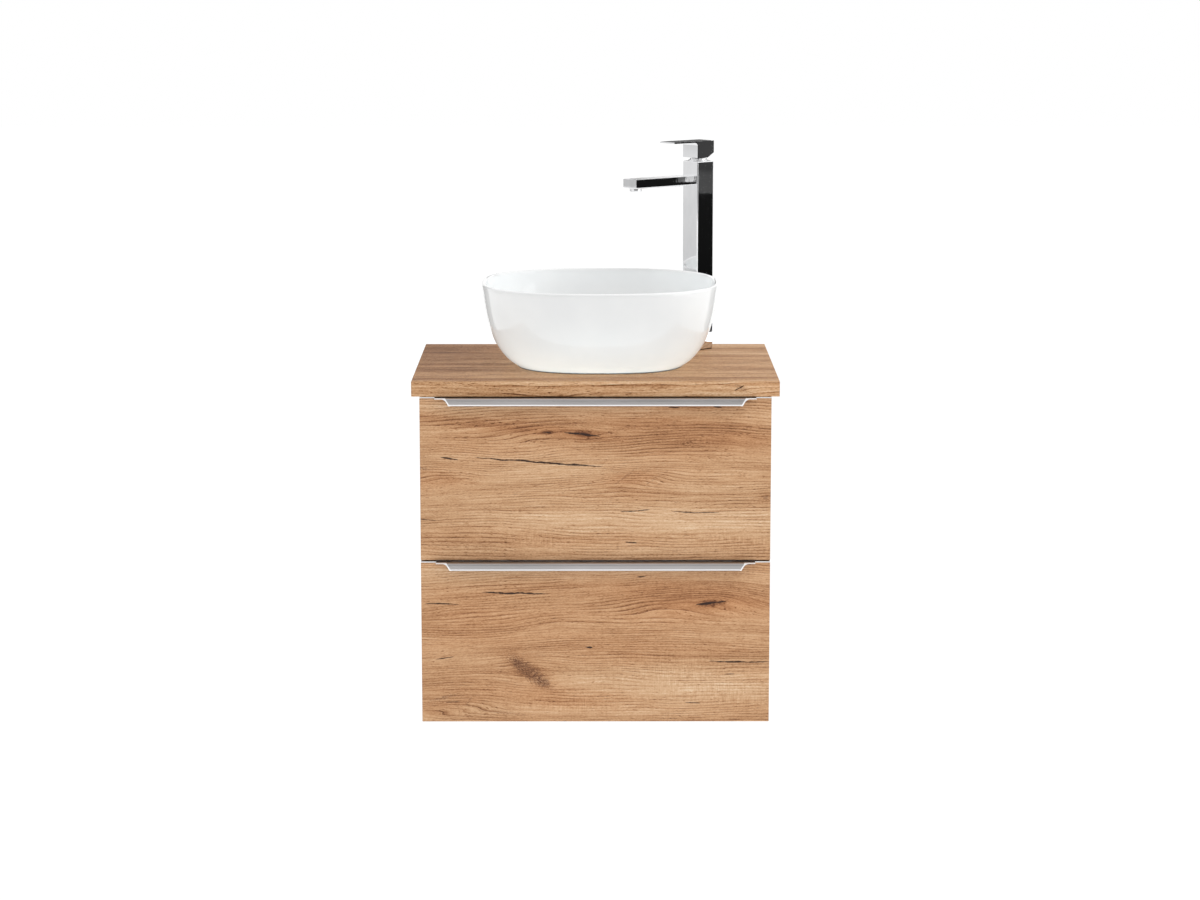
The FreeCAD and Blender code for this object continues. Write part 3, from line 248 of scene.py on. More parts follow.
def oak(name, lay, rings=5.0, knots=(), swirls=(), shades=(), cracks=(), smudges=(), combs=(),
        wave=1.0, contrast=1.0, warmth=0.25):
    """An oak laminate. lay gives the along-grain, across-grain and third place from X, Y, Z.
    Lines of grain bend round knots and swirls, shades are tinted patches (the worktop's broad
    dark patch over its left is painted shade), smudges are rough brown patches and combs are
    patches of cross marks, all in millimetres along and across the grain."""
    finish = Finish(name)
    u, v, w = lay(*finish.place())
    flow = v + (finish.noise(u / 430.0, v / 120.0, w / 200.0 + 3.1) - 0.5) * 46.0 * wave
    flow = flow + (finish.noise(u / 110.0, v / 24.0, w / 90.0 + 8.7, 3.0) - 0.5) * 5.0 * wave
    for u0, v0, size, stretch, push in knots:
        du, dv = (u - u0) / stretch, v - v0
        flow = flow - dv * push / (1.0 + (du * du + dv * dv) / size ** 2)
    for spot, lift in swirls:
        flow = flow + patch(u, v, spot) * lift

    broad = finish.noise(u / 520.0, flow / 34.0, w / 300.0, 2.0)
    bands = finish.noise(u / 260.0, flow / 5.0, w / 200.0 + 5.0, 3.0, 0.55)
    fine = finish.noise(u / 30.0, flow / 1.5, w / 40.0, 3.0, 0.6)
    grit = finish.noise(u / 3.4, v / 1.5, w / 5.5, 2.0, 0.6)
    turn = (flow / rings + finish.noise(u / 240.0, flow / 30.0, w / 99.0) * 2.2).fraction()
    late = (turn ** 4.0) * ((finish.noise(u / 170.0, v / 38.0, w / 80.0 + 2.0, 2.0) - 0.33) * 4.5).kept()
    late = late * (finish.noise(u / 30.0, flow / 2.5, w / 30.0 + 3.0, 2.0) * 1.9 - 0.10).kept()
    pores = ((finish.noise(u / 8.0, flow / 1.15, w / 9.0 + 4.0, 1.0) - 0.60) * 8.0).kept()
    pores = pores * ((finish.noise(u / 60.0, flow / 9.0, w / 50.0 + 6.0) - 0.36) * 5.0).kept()
    comb = finish.noise(u / 1.9, v / 17.0, w / 26.0 + 7.0, 2.0, 0.6) - 0.48
    combed = ((finish.noise(u / 90.0, v / 30.0, w / 90.0 + 1.0) - 0.5) * 5.0).kept() * 0.35
    for spot in combs:
        combed = combed + patch(u, v, spot)

    tone = (broad - 0.5) * 0.62 + (bands - 0.5) * 0.50 + (fine - 0.5) * 0.72
    tone = (tone + (grit - 0.5) * 0.58 - late * 0.58 - pores * 0.42) * contrast + 0.60
    tone = tone + comb * 0.42 * combed
    red = (finish.noise(u / 260.0, v / 50.0, w / 90.0 + 9.0) - 0.5) * 1.8 + warmth
    for spot, dark, tint in shades:
        here = patch(u, v, spot)
        tone = tone - here * dark
        red = red + here * tint
    colour = finish.ramp(tone, OAK_SHADES)
    colour = finish.mixed((red * 0.55).kept(), colour, OAK_WARM_TINT, "MULTIPLY")

    wander = finish.noise(u / 55.0, v / 50.0, w / 90.0, 3.0, 0.6)
    ragged = finish.noise(u / 14.0, v / 50.0, w / 90.0 + 4.0, 3.0, 0.7) * 2.6 - 0.35
    sunk = pores * 0.35 + late * 0.3 + (1.0 - fine) * 0.3
    for spot, strength in smudges:
        c, s = cos(radians(spot[4])), sin(radians(spot[4]))
        along, over = u * c + v * s, v * c - u * s
        fray = finish.noise(along / 4.5, over / 1.7, w / 5.0, 3.0, 0.8)
        here = patch(u, v, spot)
        stain = (here * 1.1 + (fray - 0.5) * 4.6 - 0.50).kept() * strength
        stain = stain * (here * 4.0 - 0.6).kept()
        colour = finish.mixed(stain, colour, OAK_STAIN)
        sunk = sunk + stain * 0.3
    splits = None
    for line in cracks:
        split = crack(u, v, wander, ragged, line)
        splits = split if splits is None else splits.most(split)
    if splits is not None:
        colour = finish.mixed(splits * 0.97, colour, OAK_SPLIT)
        sunk = sunk + splits
    finish.set(
        Base_Color=colour,
        Roughness=0.40 + (1.0 - fine) * 0.16 + pores * 0.1,
        Normal=finish.bump(1.0 - sunk, 0.00012),
    )
    finish.shader.inputs["Specular IOR Level"].default_value = 0.25
    return finish


side_oak = oak("side_oak", lambda x, y, z: (y, z + 0.35 * x, x), rings=5.6,
               knots=((-150.0, -160.0, 12.0, 3.0, 0.8), (-330.0, -390.0, 8.0, 2.6, 0.8)),
               cracks=((-260.0, -60.0, -120.0, -68.0, 0.7),),
               smudges=(((-150.0, -160.0, 11.0, 4.0, 8.0), 0.9),))
side_oak.onto(nodes["side_panel_left"], nodes["side_panel_right"])

cross_oak = oak("cross_oak", lambda x, y, z: (x, y + z, z - y), rings=6.0)
cross_oak.onto(*[nodes[name] for name in (
    "bottom_panel", "front_rail", "rear_top_rail", "rear_low_rail")])


# ---------------------------------------------------------------- cams, screws and hangers
# Zinc-plated fastenings: cams and their bolts, wood screws, the two angles under the worktop,
# and the hooks and plates that carry the cabinet. The hangers' housings are moulded plastic.
zinc = Finish("zinc_plate")
x, y, z = zinc.place()
spangle = zinc.node("ShaderNodeTexVoronoi", {}, {"Vector": zinc.point(x / 3.5, y / 3.5, z / 3.5),
                                                 "Scale": 1.0}, "Distance")
haze = zinc.noise(x / 16.0, y / 16.0, z / 16.0, 4.0, 0.6)
zinc.set(
    Base_Color=zinc.ramp(haze * 0.8 + spangle * 0.25, [(0.25, (0.36, 0.365, 0.375)),
                                                       (0.75, (0.66, 0.67, 0.69))]),
    Metallic=1.0,
    Roughness=0.24 + haze * 0.26,
    Normal=zinc.bump(haze + spangle * 0.3, 0.00008),
)
zinc.onto(*[nodes[name] for name in (
    "cam_fittings", "carcass_screws", "upper_fasteners", "lower_fasteners", "hanger_hooks",
    "wall_plates")])

moulded = Finish("moulded_plastic")
x, y, z = moulded.place()
grain = moulded.noise(x / 0.7, y / 0.7, z / 0.7, 2.0)
moulded.set(
    Base_Color=moulded.ramp(moulded.noise(x / 30.0, y / 30.0, z / 30.0, 3.0),
                            [(0.3, (0.50, 0.50, 0.49)), (0.7, (0.57, 0.57, 0.56))]),
    Roughness=0.42 + grain * 0.15,
    Normal=moulded.bump(grain, 0.00005),
)
moulded.onto(nodes["hanger_housings"])


# ---------------------------------------------------------------- runners
# Ball-bearing drawer runners, three rolled channels on each side of each drawer. The steel is
# rolled lengthways and zinc plated, and keeps a thin film of grease.
runner_steel = Finish("runner_steel")
x, y, z = runner_steel.place()
rolled = runner_steel.noise(x / 0.8, y / 90.0, z / 0.8, 3.0, 0.6)
film = runner_steel.noise(x / 25.0, y / 50.0, z / 25.0, 3.0)
runner_steel.set(
    Base_Color=runner_steel.ramp(rolled * 0.6 + film * 0.4, [(0.3, (0.40, 0.41, 0.42)),
                                                            (0.7, (0.66, 0.67, 0.68))]),
    Metallic=1.0,
    Roughness=0.22 + film * 0.22,
    Normal=runner_steel.bump(rolled, 0.00004),
)
runner_steel.onto(*[nodes[f"{level}_runner_{member}"] for level in ("upper", "lower")
                    for member in ("fixed", "middle", "inner")])


# ---------------------------------------------------------------- drawer fronts
# Two fronts, 18 mm thick, cut from a sheet whose print shows oak with knots, drying cracks and
# fine cross marks, and edged all round. Each front shows its own part of the print.
def front_lay(top):
    """Places on a front: X from its middle and depth below its upper edge."""
    return lambda x, y, z: (x, z * -1.0 + top, y + z * 0.01)


# Darker colour for the fronts' end edges: partly the edging's own colour, partly painted shade where the
# edge turns away.
EDGE_AND_SHADE_LINE = (0.16, 0.07, 0.035)


def edged_and_shaded(finish, half):
    """A front's glued edging shows as a slightly darker line at its left and right ends: partly the
    edging's own colour, partly painted shade on the turned edge.
    """
    x, y, z = finish.place()
    line = ((abs(x) - half + 0.4) * 2.0).kept()
    colour = finish.shader.inputs["Base Color"].links[0].from_socket
    finish.set(Base_Color=finish.mixed(line * 0.45, Signal(finish, colour), EDGE_AND_SHADE_LINE))


low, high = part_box("upper_front")
upper_oak = oak(
    "upper_front_oak", front_lay(high.z * 1000.0), rings=4.9,
    knots=((-22.0, 60.0, 12.0, 3.2, 0.85), (279.0, 165.0, 7.0, 1.6, 0.8),
           (-79.0, 57.0, 4.0, 2.5, 0.8)),
    swirls=(((62.0, 131.0, 60.0, 15.0, -6.0), 9.0), ((165.0, 138.0, 75.0, 13.0, 4.0), -5.0),
            ((-250.0, 122.0, 60.0, 17.0, 10.0), 9.0), ((-150.0, 80.0, 90.0, 20.0, 8.0), -9.0)),
    shades=(((-45.0, 58.0, 100.0, 10.0, 6.0), 0.15, 1.0), ((-240.0, 37.0, 95.0, 8.0, 6.0), 0.15, 0.6),
            ((150.0, 50.0, 150.0, 22.0, 4.0), 0.10, 0.8), ((-262.0, 130.0, 46.0, 15.0, 6.0), 0.13, 0.5),
            ((62.0, 131.0, 44.0, 10.0, -4.0), 0.12, 0.8), ((-20.0, 60.0, 16.0, 5.0, 5.0), 0.25, 0.4),
            ((0.0, 198.0, 330.0, 24.0, 0.0), -0.13, -0.6), ((280.0, 165.0, 12.0, 8.0, 0.0), 0.14, 0.4),
            ((-150.0, 238.0, 110.0, 8.0, 2.0), 0.12, 0.2), ((-120.0, 82.0, 90.0, 12.0, 6.0), -0.08, 0.0),
            ((210.0, 155.0, 80.0, 12.0, 0.0), -0.06, -0.3), ((150.0, 16.0, 70.0, 5.0, 0.0), 0.12, 0.9)),
    cracks=((-52.0, 57.0, 8.0, 62.5, 1.9), (-199.0, 98.0, 15.0, 113.5, 1.5),
            (-254.0, 97.5, -224.0, 102.0, 1.2), (40.0, 188.0, 90.0, 184.5, 0.9),
            (124.0, 188.0, 204.0, 190.5, 0.85), (49.0, 239.0, 68.0, 240.5, 1.1),
            (-295.0, 200.0, -260.0, 203.0, 0.7), (-87.0, 56.0, -71.0, 57.5, 1.1),
            (118.0, 15.0, 138.0, 16.0, 1.0), (192.0, 14.0, 206.0, 15.5, 1.0)),
    smudges=(((-19.0, 58.5, 13.0, 4.0, 6.0), 1.0), ((279.0, 165.0, 6.0, 4.5, 0.0), 0.6),
             ((-284.0, 116.0, 20.0, 2.4, 10.0), 0.6), ((50.0, 129.0, 26.0, 2.0, -38.0), 0.45),
             ((-97.0, 180.0, 20.0, 1.5, 2.0), 0.4), ((100.0, 132.0, 24.0, 1.6, -32.0), 0.35)),
    combs=((230.0, 240.0, 70.0, 18.0, 0.0), (-80.0, 235.0, 60.0, 12.0, 0.0)))
edged_and_shaded(upper_oak, high.x * 1000.0)
upper_oak.onto(nodes["upper_front"])

low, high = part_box("lower_front")
lower_oak = oak(
    "lower_front_oak", front_lay(high.z * 1000.0), rings=4.6, contrast=0.95, warmth=0.45,
    knots=((191.0, 69.5, 11.0, 3.6, 0.9), (-109.0, 185.0, 17.0, 1.8, 0.75)),
    swirls=(((150.0, 58.0, 160.0, 30.0, 0.0), 15.0), ((-190.0, 120.0, 150.0, 30.0, 6.0), -6.0),
            ((-240.0, 245.0, 70.0, 10.0, -6.0), 8.0)),
    shades=(((-120.0, 118.0, 220.0, 32.0, 5.0), 0.12, 0.5), ((150.0, 58.0, 150.0, 26.0, 2.0), 0.07, 0.9),
            ((191.0, 69.5, 22.0, 6.0, -6.0), 0.22, 0.6), ((-109.0, 185.0, 50.0, 18.0, 38.0), 0.13, 0.5),
            ((120.0, 205.0, 200.0, 38.0, 0.0), -0.09, -0.5), ((-60.0, 228.0, 90.0, 15.0, 0.0), 0.06, 0.5),
            ((-190.0, 25.0, 140.0, 12.0, 0.0), -0.06, -0.3), ((-235.0, 238.0, 60.0, 7.0, -8.0), 0.10, 0.3),
            ((200.0, 148.0, 110.0, 9.0, 4.0), 0.08, 0.2)),
    cracks=((-189.0, 50.5, -77.0, 53.0, 1.35), (-281.0, 69.0, -224.0, 70.0, 0.95),
            (186.0, 167.0, 290.0, 168.5, 1.2), (-17.0, 142.6, -5.0, 143.6, 1.3),
            (-264.0, 163.5, -234.0, 158.5, 0.95), (164.0, 71.0, 216.0, 65.5, 1.7),
            (148.0, 236.5, 174.0, 238.0, 0.8), (68.0, 24.5, 83.0, 23.5, 1.0),
            (-248.0, 236.0, -224.0, 235.0, 0.7), (213.0, 188.5, 230.0, 188.0, 0.7)),
    smudges=(((-109.0, 185.0, 42.0, 13.0, 38.0), 1.0), ((191.0, 68.5, 25.0, 5.5, -6.0), 0.85),
             ((-130.0, 170.0, 12.0, 7.0, 60.0), 0.8), ((-86.0, 203.0, 12.0, 8.0, 10.0), 0.8),
             ((-250.0, 228.0, 26.0, 3.0, -14.0), 0.6), ((-208.0, 232.0, 9.0, 2.0, -50.0), 0.55),
             ((-150.0, 254.0, 40.0, 3.0, 6.0), 0.35)),
    combs=((120.0, 190.0, 120.0, 34.0, 0.0), (-40.0, 240.0, 90.0, 14.0, 0.0),
           (230.0, 225.0, 60.0, 22.0, 0.0)))
edged_and_shaded(lower_oak, high.x * 1000.0)
lower_oak.onto(nodes["lower_front"])


# ---------------------------------------------------------------- handles
# One length of extruded aluminium over the top of each front, with a rounded nose that is
# gripped from below. It is satin anodised, and its milled ends and lower edge are polished;
# these, and the flange's front near each end, get a near-white, mostly non-metallic finish
# that is a painted highlight over the metal.
satin = Finish("satin_aluminium")
x, y, z = satin.place()
drawn = satin.noise(x / 110.0, y / 0.35, z / 0.35, 4.0, 0.65)
sheen = satin.noise(x / 170.0, y / 30.0, z / 30.0, 2.0)
satin.set(
    Base_Color=satin.ramp(drawn * 0.5 + sheen * 0.5, [(0.3, (0.36, 0.345, 0.34)),
                                                      (0.7, (0.56, 0.535, 0.53))]),
    Metallic=1.0,
    Roughness=0.27 + drawn * 0.16,
    Normal=satin.bump(drawn, 0.00002),
)

# Near-white, mostly non-metallic finish for the milled ends, lower edge and flange front: a painted
# highlight over the real milled metal.
painted_highlight_metal = Finish("milled_aluminium_painted_highlight")
x, y, z = painted_highlight_metal.place()
milled = painted_highlight_metal.noise(x / 0.5, y / 4.0, z / 0.5, 2.0)
painted_highlight_metal.set(
    Base_Color=painted_highlight_metal.ramp(milled, [(0.3, (0.88, 0.88, 0.89)), (0.7, (0.95, 0.95, 0.96))]),
    Roughness=0.12 + milled * 0.1,
)
painted_highlight_metal.shader.inputs["Metallic"].default_value = 0.25


def alone(piece):
    """Selects just this piece and makes it the active one."""
    bpy.ops.object.select_all(action="DESELECT")
    piece.select_set(True)
    bpy.context.view_layer.objects.active = piece


def pick_faces(piece, test):
    """In edit mode, selects just the faces that pass a test of their middle and normal."""
    bpy.ops.mesh.select_mode(type="FACE")
    bpy.ops.mesh.select_all(action="DESELECT")
    mesh = bmesh.from_edit_mesh(piece.data)
    for face in mesh.faces:
        face.select = test(face.calc_center_median(), face.normal)
    mesh.select_flush(True)
    bmesh.update_edit_mesh(piece.data)


def pick_edges(piece, test):
    """In edit mode, selects just the edges that pass a test of their two ends."""
    bpy.ops.mesh.select_mode(type="EDGE")
    bpy.ops.mesh.select_all(action="DESELECT")
    mesh = bmesh.from_edit_mesh(piece.data)
    for edge in mesh.edges:
        edge.select = test(edge.verts[0].co, edge.verts[1].co)
    mesh.select_flush(True)
    bmesh.update_edit_mesh(piece.data)


def closed_copy(node, name):
    """A separate, merged and cleaned mesh of a CAD part, for finer shaping."""
    source = nodes[node]
    piece = bpy.data.objects.new(name, source.data.copy())
    bpy.context.scene.collection.objects.link(piece)
    alone(piece)
    bpy.ops.mesh.customdata_custom_splitnormals_clear()
    bpy.ops.object.mode_set(mode="EDIT")
    bpy.ops.mesh.select_all(action="SELECT")
    bpy.ops.mesh.remove_doubles(threshold=0.00002)
    bpy.ops.mesh.dissolve_limited(angle_limit=radians(0.5))
    return piece


LIP_END_X = 0.2413          # where the lip's slanting end meets the level LIP_END_DROP
LIP_END_DROP = 0.005
LIP_END_WAY = (0.846, -0.533)
LIP_EDGE_DROP = 0.0103      # top of the lip's polished lower edge
LIP_DEPTH = 0.012
FLANGE_X = 0.257            # the flange shows at its front outside this
FLANGE_DEPTH = 0.0151
FLANGE_THICK = 0.0016
for level in ("upper", "lower"):
    handle = closed_copy(f"{level}_handle", f"{level}_edge_handle")
    low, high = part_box(f"{level}_handle")
    across = {}
    for side in (-1, 1):
        bpy.ops.mesh.select_all(action="SELECT")
        across[side] = (Vector((side * LIP_END_X, 0, high.z - LIP_END_DROP)),
                        Vector((side * LIP_END_WAY[0], 0, LIP_END_WAY[1])))
        bpy.ops.mesh.bisect(plane_co=across[side][0], plane_no=across[side][1])
    bpy.ops.mesh.select_all(action="SELECT")
    bpy.ops.mesh.bisect(plane_co=(0, 0, high.z - LIP_EDGE_DROP), plane_no=(0, 0, 1))
    bpy.ops.object.mode_set(mode="OBJECT")
    satin.onto(handle)
    handle.data.materials.append(painted_highlight_metal.material)
    for face in handle.data.polygons:
        lip = face.center.y < low.y + LIP_DEPTH
        end = any((face.center - start).dot(outwards) > 0 for start, outwards in across.values())
        lower_edge = face.normal.y < -0.99 and face.center.z < high.z - LIP_EDGE_DROP
        flange_front = (face.normal.y < -0.99 and abs(face.center.x) > FLANGE_X
                        and face.center.y < low.y + FLANGE_DEPTH
                        and face.center.z > high.z - FLANGE_THICK)
        # These faces take the painted-highlight finish: the lip's ends and lower edge, and the flange's
        # front near the ends.
        if (lip and (end or lower_edge)) or flange_front:
            face.material_index = 1
    bpy.ops.object.shade_smooth_by_angle(angle=radians(25))
    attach(handle, f"{level}_drawer")
    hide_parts(f"{level}_handle")


# ---------------------------------------------------------------- worktop
# A 25 mm board whose oak print folds over its front edge without a break. It is a little
# calmer and greyer than the drawer fronts, with long straight dark streaks.
low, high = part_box("worktop")
top_z = high.z * 1000.0
end_x = high.x * 1000.0


def folded_lay(x, y, z):
    """Places on the worktop: the print folds down over the front, and runs along each end."""
    end = ((abs(x) - end_x + 0.4) * 10.0).kept()
    return (x + (y - x) * end, y + z - top_z - y * end, z - y * 0.02 * (1.0 - end))


worktop_oak = oak(
    "worktop_oak", folded_lay, rings=9.0, wave=0.5,
    warmth=0.05, contrast=1.3,
    knots=((-225.0, -330.0, 9.0, 3.0, 0.6), (232.0, -468.0, 6.0, 2.5, 0.7)),
    swirls=(((-40.0, -505.0, 120.0, 26.0, -8.0), 14.0),),
    # The first shade, a broad dark patch over the left of the top, is painted shade: the worktop's left
    # darker as if lit from the right.
    shades=(((-300.0, -200.0, 190.0, 240.0, 0.0), 0.26, -0.6),
            ((-230.0, -330.0, 70.0, 9.0, -2.0), 0.16, 0.0),
            ((250.0, -150.0, 140.0, 16.0, 0.0), 0.15, 0.0), ((255.0, -320.0, 90.0, 8.0, 3.0), 0.15, 0.2),
            ((-270.0, -110.0, 80.0, 12.0, 0.0), 0.15, 0.0), ((230.0, -60.0, 90.0, 12.0, 0.0), 0.12, 0.0),
            ((220.0, -400.0, 120.0, 14.0, 0.0), -0.08, 0.0),
            ((0.0, -471.0, 700.0, 12.0, 0.0), -0.04, 0.3)),
    cracks=((-262.0, -300.0, -200.0, -303.0, 1.2), (226.0, -475.0, 242.0, -467.0, 1.1)),
    smudges=(((-245.0, -365.0, 50.0, 4.5, 0.0), 0.5), ((236.0, -470.0, 12.0, 4.0, -30.0), 0.5),
             ((-225.0, -295.0, 40.0, 3.5, 0.0), 0.5), ((262.0, -330.0, 36.0, 3.5, 2.0), 0.35)))
worktop_oak.shader.inputs["Specular IOR Level"].default_value = 0.03
worktop_oak.onto(nodes["worktop"])


# ---------------------------------------------------------------- basin
# A slip-cast vitreous china bowl, round-cornered in plan, with a thin rim and a flat foot
# ring, fired with a clear gloss glaze that pools softly at every edge.
def shut(piece):
    """Ends the shaping of a closed mesh: merged, with its faces outwards."""
    bpy.ops.mesh.select_all(action="SELECT")
    bpy.ops.mesh.remove_doubles(threshold=0.00001)
    bpy.ops.mesh.normals_make_consistent(inside=False)
    bpy.ops.object.mode_set(mode="OBJECT")


def modified(piece, kind, **settings):
    """Puts a modifier on the piece and applies it."""
    alone(piece)
    added = piece.modifiers.new(kind.lower(), kind)
    for name, value in settings.items():
        setattr(added, name, value)
    bpy.ops.object.modifier_apply(modifier=added.name)


def turned(name, middle, outline, around=48, power=2.0):
    """A ring of edges drawn through an outline of (half size, height) pairs round a vertical
    line; power 2 is a circle and more is squarer. It is left in edit mode."""
    half, height = outline[0]
    bpy.ops.object.select_all(action="DESELECT")
    bpy.ops.mesh.primitive_circle_add(vertices=around, radius=half,
                                      location=middle + Vector((0, 0, height)))
    piece = bpy.context.object
    piece.name = name
    bpy.ops.object.transform_apply(location=True, rotation=True, scale=True)
    for i, vertex in enumerate(piece.data.vertices):
        c, s = cos(2 * pi * i / around), sin(2 * pi * i / around)
        reach = (abs(c) ** power + abs(s) ** power) ** (-1 / power)
        vertex.co = middle + Vector((half * reach * c, half * reach * s, height))
    bpy.ops.object.mode_set(mode="EDIT")
    bpy.ops.mesh.select_all(action="SELECT")
    for (half, height), (new_half, new_height) in zip(outline, outline[1:]):
        rise = (0, 0, new_height - height)
        bpy.ops.mesh.extrude_edges_move(TRANSFORM_OT_translate={"value": rise})
        if new_half == 0:
            bpy.ops.mesh.merge(type="CENTER")
        else:
            grow = new_half / half
            bpy.ops.transform.resize(value=(grow, grow, 1),
                                     center_override=middle + Vector((0, 0, new_height)))
    return piece


def bent(t, a, b, c, d):
    """A point of a bent line from a to d that leaves towards b and arrives from c."""
    u = 1 - t
    return u**3 * a + 3 * u * u * t * b + 3 * u * t * t * c + t**3 * d


BOWL_FOOT_INSET = 0.057
BOWL_FLOOR = 0.021
BOWL_WALL = 0.008
BOWL_SQUARENESS = 2.6
DRAIN_ROUND = 0.075         # the bowl's floor turns from square to round inside this
DRAIN_TURN = 0.030
low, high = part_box("basin")
bowl_middle = Vector(((low.x + high.x) / 2, (low.y + high.y) / 2, low.z))
tall = high.z - low.z
rim = (high.x - low.x) / 2
foot = rim - BOWL_FOOT_INSET
floor = BOWL_FLOOR
inner = rim - BOWL_WALL
outside = []
for i in range(1, 10):
    t = i / 10
    outside.append((bent(t, foot, rim - 0.01824, rim - 0.005985, rim),
                    bent(t, 0.0, 0.187 * tall, 0.504 * tall, tall)))
inside = []
for i in range(9, -1, -1):
    t = i / 10
    inside.append((bent(t, inner - 0.07465, inner - 0.01765, inner - 0.00116, inner),
                   bent(t, floor + 0.004, floor + 0.010, 0.5 * tall, tall)))
outline = [(0.0225, 0.007), (0.060, 0.007), (0.1155, 0.007), (0.119, 0.0062), (0.1192, 0.0015),
           (0.121, 0.0), (0.139, 0.0), (foot - 0.0004, 0.0012)]
outline += outside
outline += [(rim, tall - 0.006), (rim - 0.0002, tall - 0.0024), (rim - 0.0016, tall - 0.0005),
            (rim - 0.004, tall), (rim - 0.0064, tall - 0.0005), (inner + 0.0002, tall - 0.0024),
            (inner, tall - 0.006)]
outline += inside
outline += [(0.088, floor + 0.0027), (0.060, floor + 0.0013), (0.042, floor + 0.0003),
            (0.0352, floor), (0.0337, floor - 0.0003), (0.0334, floor - 0.0012),
            (0.0334, floor - 0.0028), (0.0328, floor - 0.003), (0.0235, floor - 0.003),
            (0.0226, floor - 0.0036), (0.0225, 0.008), (0.0225, 0.007)]
bowl = turned("china_basin", bowl_middle, outline, around=64, power=BOWL_SQUARENESS)
mesh = bmesh.from_edit_mesh(bowl.data)
for vertex in mesh.verts:
    flat = Vector((vertex.co.x - bowl_middle.x, vertex.co.y - bowl_middle.y))
    if flat.length < DRAIN_ROUND and vertex.co.z < bowl_middle.z + 0.03:
        size = (abs(flat.x) ** BOWL_SQUARENESS + abs(flat.y) ** BOWL_SQUARENESS) ** (1 / BOWL_SQUARENESS)
        share = min(1.0, max(0.0, (DRAIN_ROUND - size) / DRAIN_TURN))
        flat = flat * (1 - share) + flat.normalized() * size * share
        vertex.co.x, vertex.co.y = bowl_middle.x + flat.x, bowl_middle.y + flat.y
bmesh.update_edit_mesh(bowl.data)
shut(bowl)
modified(bowl, "SUBSURF", levels=2, render_levels=2)
bpy.ops.object.shade_smooth()

GLAZE_IOR = 1.52
glaze = Finish("china_glaze")
x, y, z = glaze.place()
pooled = glaze.noise(x / 55.0, y / 55.0, z / 55.0, 2.0)
dimple = glaze.noise(x / 9.0, y / 9.0, z / 9.0, 1.0)
glaze.set(
    Base_Color=glaze.ramp(pooled, [(0.3, (0.835, 0.84, 0.84)), (0.7, (0.865, 0.868, 0.865))]),
    Roughness=0.02 + pooled * 0.03,
    Normal=glaze.bump(pooled + dimple * 0.03, 0.0002),
)
glaze.shader.inputs["IOR"].default_value = GLAZE_IOR
glaze.onto(bowl)
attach(bowl, "root")
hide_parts("basin")

rubber = Finish("black_rubber")
x, y, z = rubber.place()
grit = rubber.noise(x / 0.8, y / 0.8, z / 0.8, 3.0, 0.6)
rubber.set(
    Base_Color=rubber.ramp(grit, [(0.3, (0.012, 0.012, 0.012)), (0.7, (0.035, 0.035, 0.034))]),
    Roughness=0.62 + grit * 0.2,
    Normal=rubber.bump(grit, 0.0001),
)
rubber.onto(nodes["waste_seals"], nodes["tap_washer"], nodes["tap_seal"])

# The bead under the basin's foot is real sealant, but its dark brown colour is painted shadow along the
# foot's contact with the worktop.
sealant_with_painted_shadow = Finish("sealant_painted_contact_shadow")
x, y, z = sealant_with_painted_shadow.place()
wave = sealant_with_painted_shadow.noise(x / 11.0, y / 11.0, z / 11.0, 2.0)
sealant_with_painted_shadow.set(
    Base_Color=sealant_with_painted_shadow.ramp(wave, [(0.3, (0.10, 0.085, 0.07)), (0.7, (0.16, 0.14, 0.12))]),
    Roughness=0.3 + wave * 0.15,
    Normal=sealant_with_painted_shadow.bump(wave, 0.0002),
)
sealant_with_painted_shadow.onto(nodes["basin_seal"])


# ---------------------------------------------------------------- waste and trap
# A click waste, whose domed plug covers the drain, and a bottle trap under it with a pipe to
# the wall. All are turned brass under bright chromium plate.
chrome = Finish("chrome_plate")
x, y, z = chrome.place()
smear = chrome.noise(x / 22.0, y / 22.0, z / 40.0, 3.0, 0.6)
polish = chrome.noise(x / 3.0, y / 3.0, z / 26.0, 2.0)
chrome.set(
    Base_Color=chrome.ramp(smear, [(0.3, (0.80, 0.805, 0.815)), (0.7, (0.86, 0.862, 0.87))]),
    Metallic=1.0,
    Roughness=0.012 + smear * 0.03,
    Normal=chrome.bump(smear + polish * 0.1, 0.00005),
)

low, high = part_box("waste_plug")
drain = Vector(((low.x + high.x) / 2, (low.y + high.y) / 2, 0))
PLUG_CROWN = 0.006
edge = high.z - PLUG_CROWN
plug = turned("waste_cover", drain, [
    (0.004, low.z), (0.004, edge - 0.001), (0.0046, edge - 0.0002), (0.0290, edge),
    (0.0302, edge + 0.0003), (0.0309, edge + 0.0012), (0.031, edge + 0.0022), (0.0307, edge + 0.0031),
    (0.0296, edge + 0.0037), (0.025, edge + 0.0046), (0.018, edge + 0.0053), (0.010, edge + 0.0058),
    (0.004, edge + 0.006), (0, edge + 0.006)], around=96)
bpy.ops.mesh.select_all(action="DESELECT")
bpy.ops.mesh.select_mode(type="EDGE")
bpy.ops.mesh.select_non_manifold()
bpy.ops.mesh.edge_face_add()
shut(plug)
bpy.ops.object.shade_smooth_by_angle(angle=radians(40))
chrome.onto(plug)
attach(plug, "waste_plug")
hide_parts("waste_plug")

chrome.onto(*[nodes[name] for name in (
    "waste_body", "waste_nut", "trap_inlet_pipe", "trap_bottle", "trap_cup", "trap_nuts",
    "trap_outlet_pipe", "wall_rosette")])


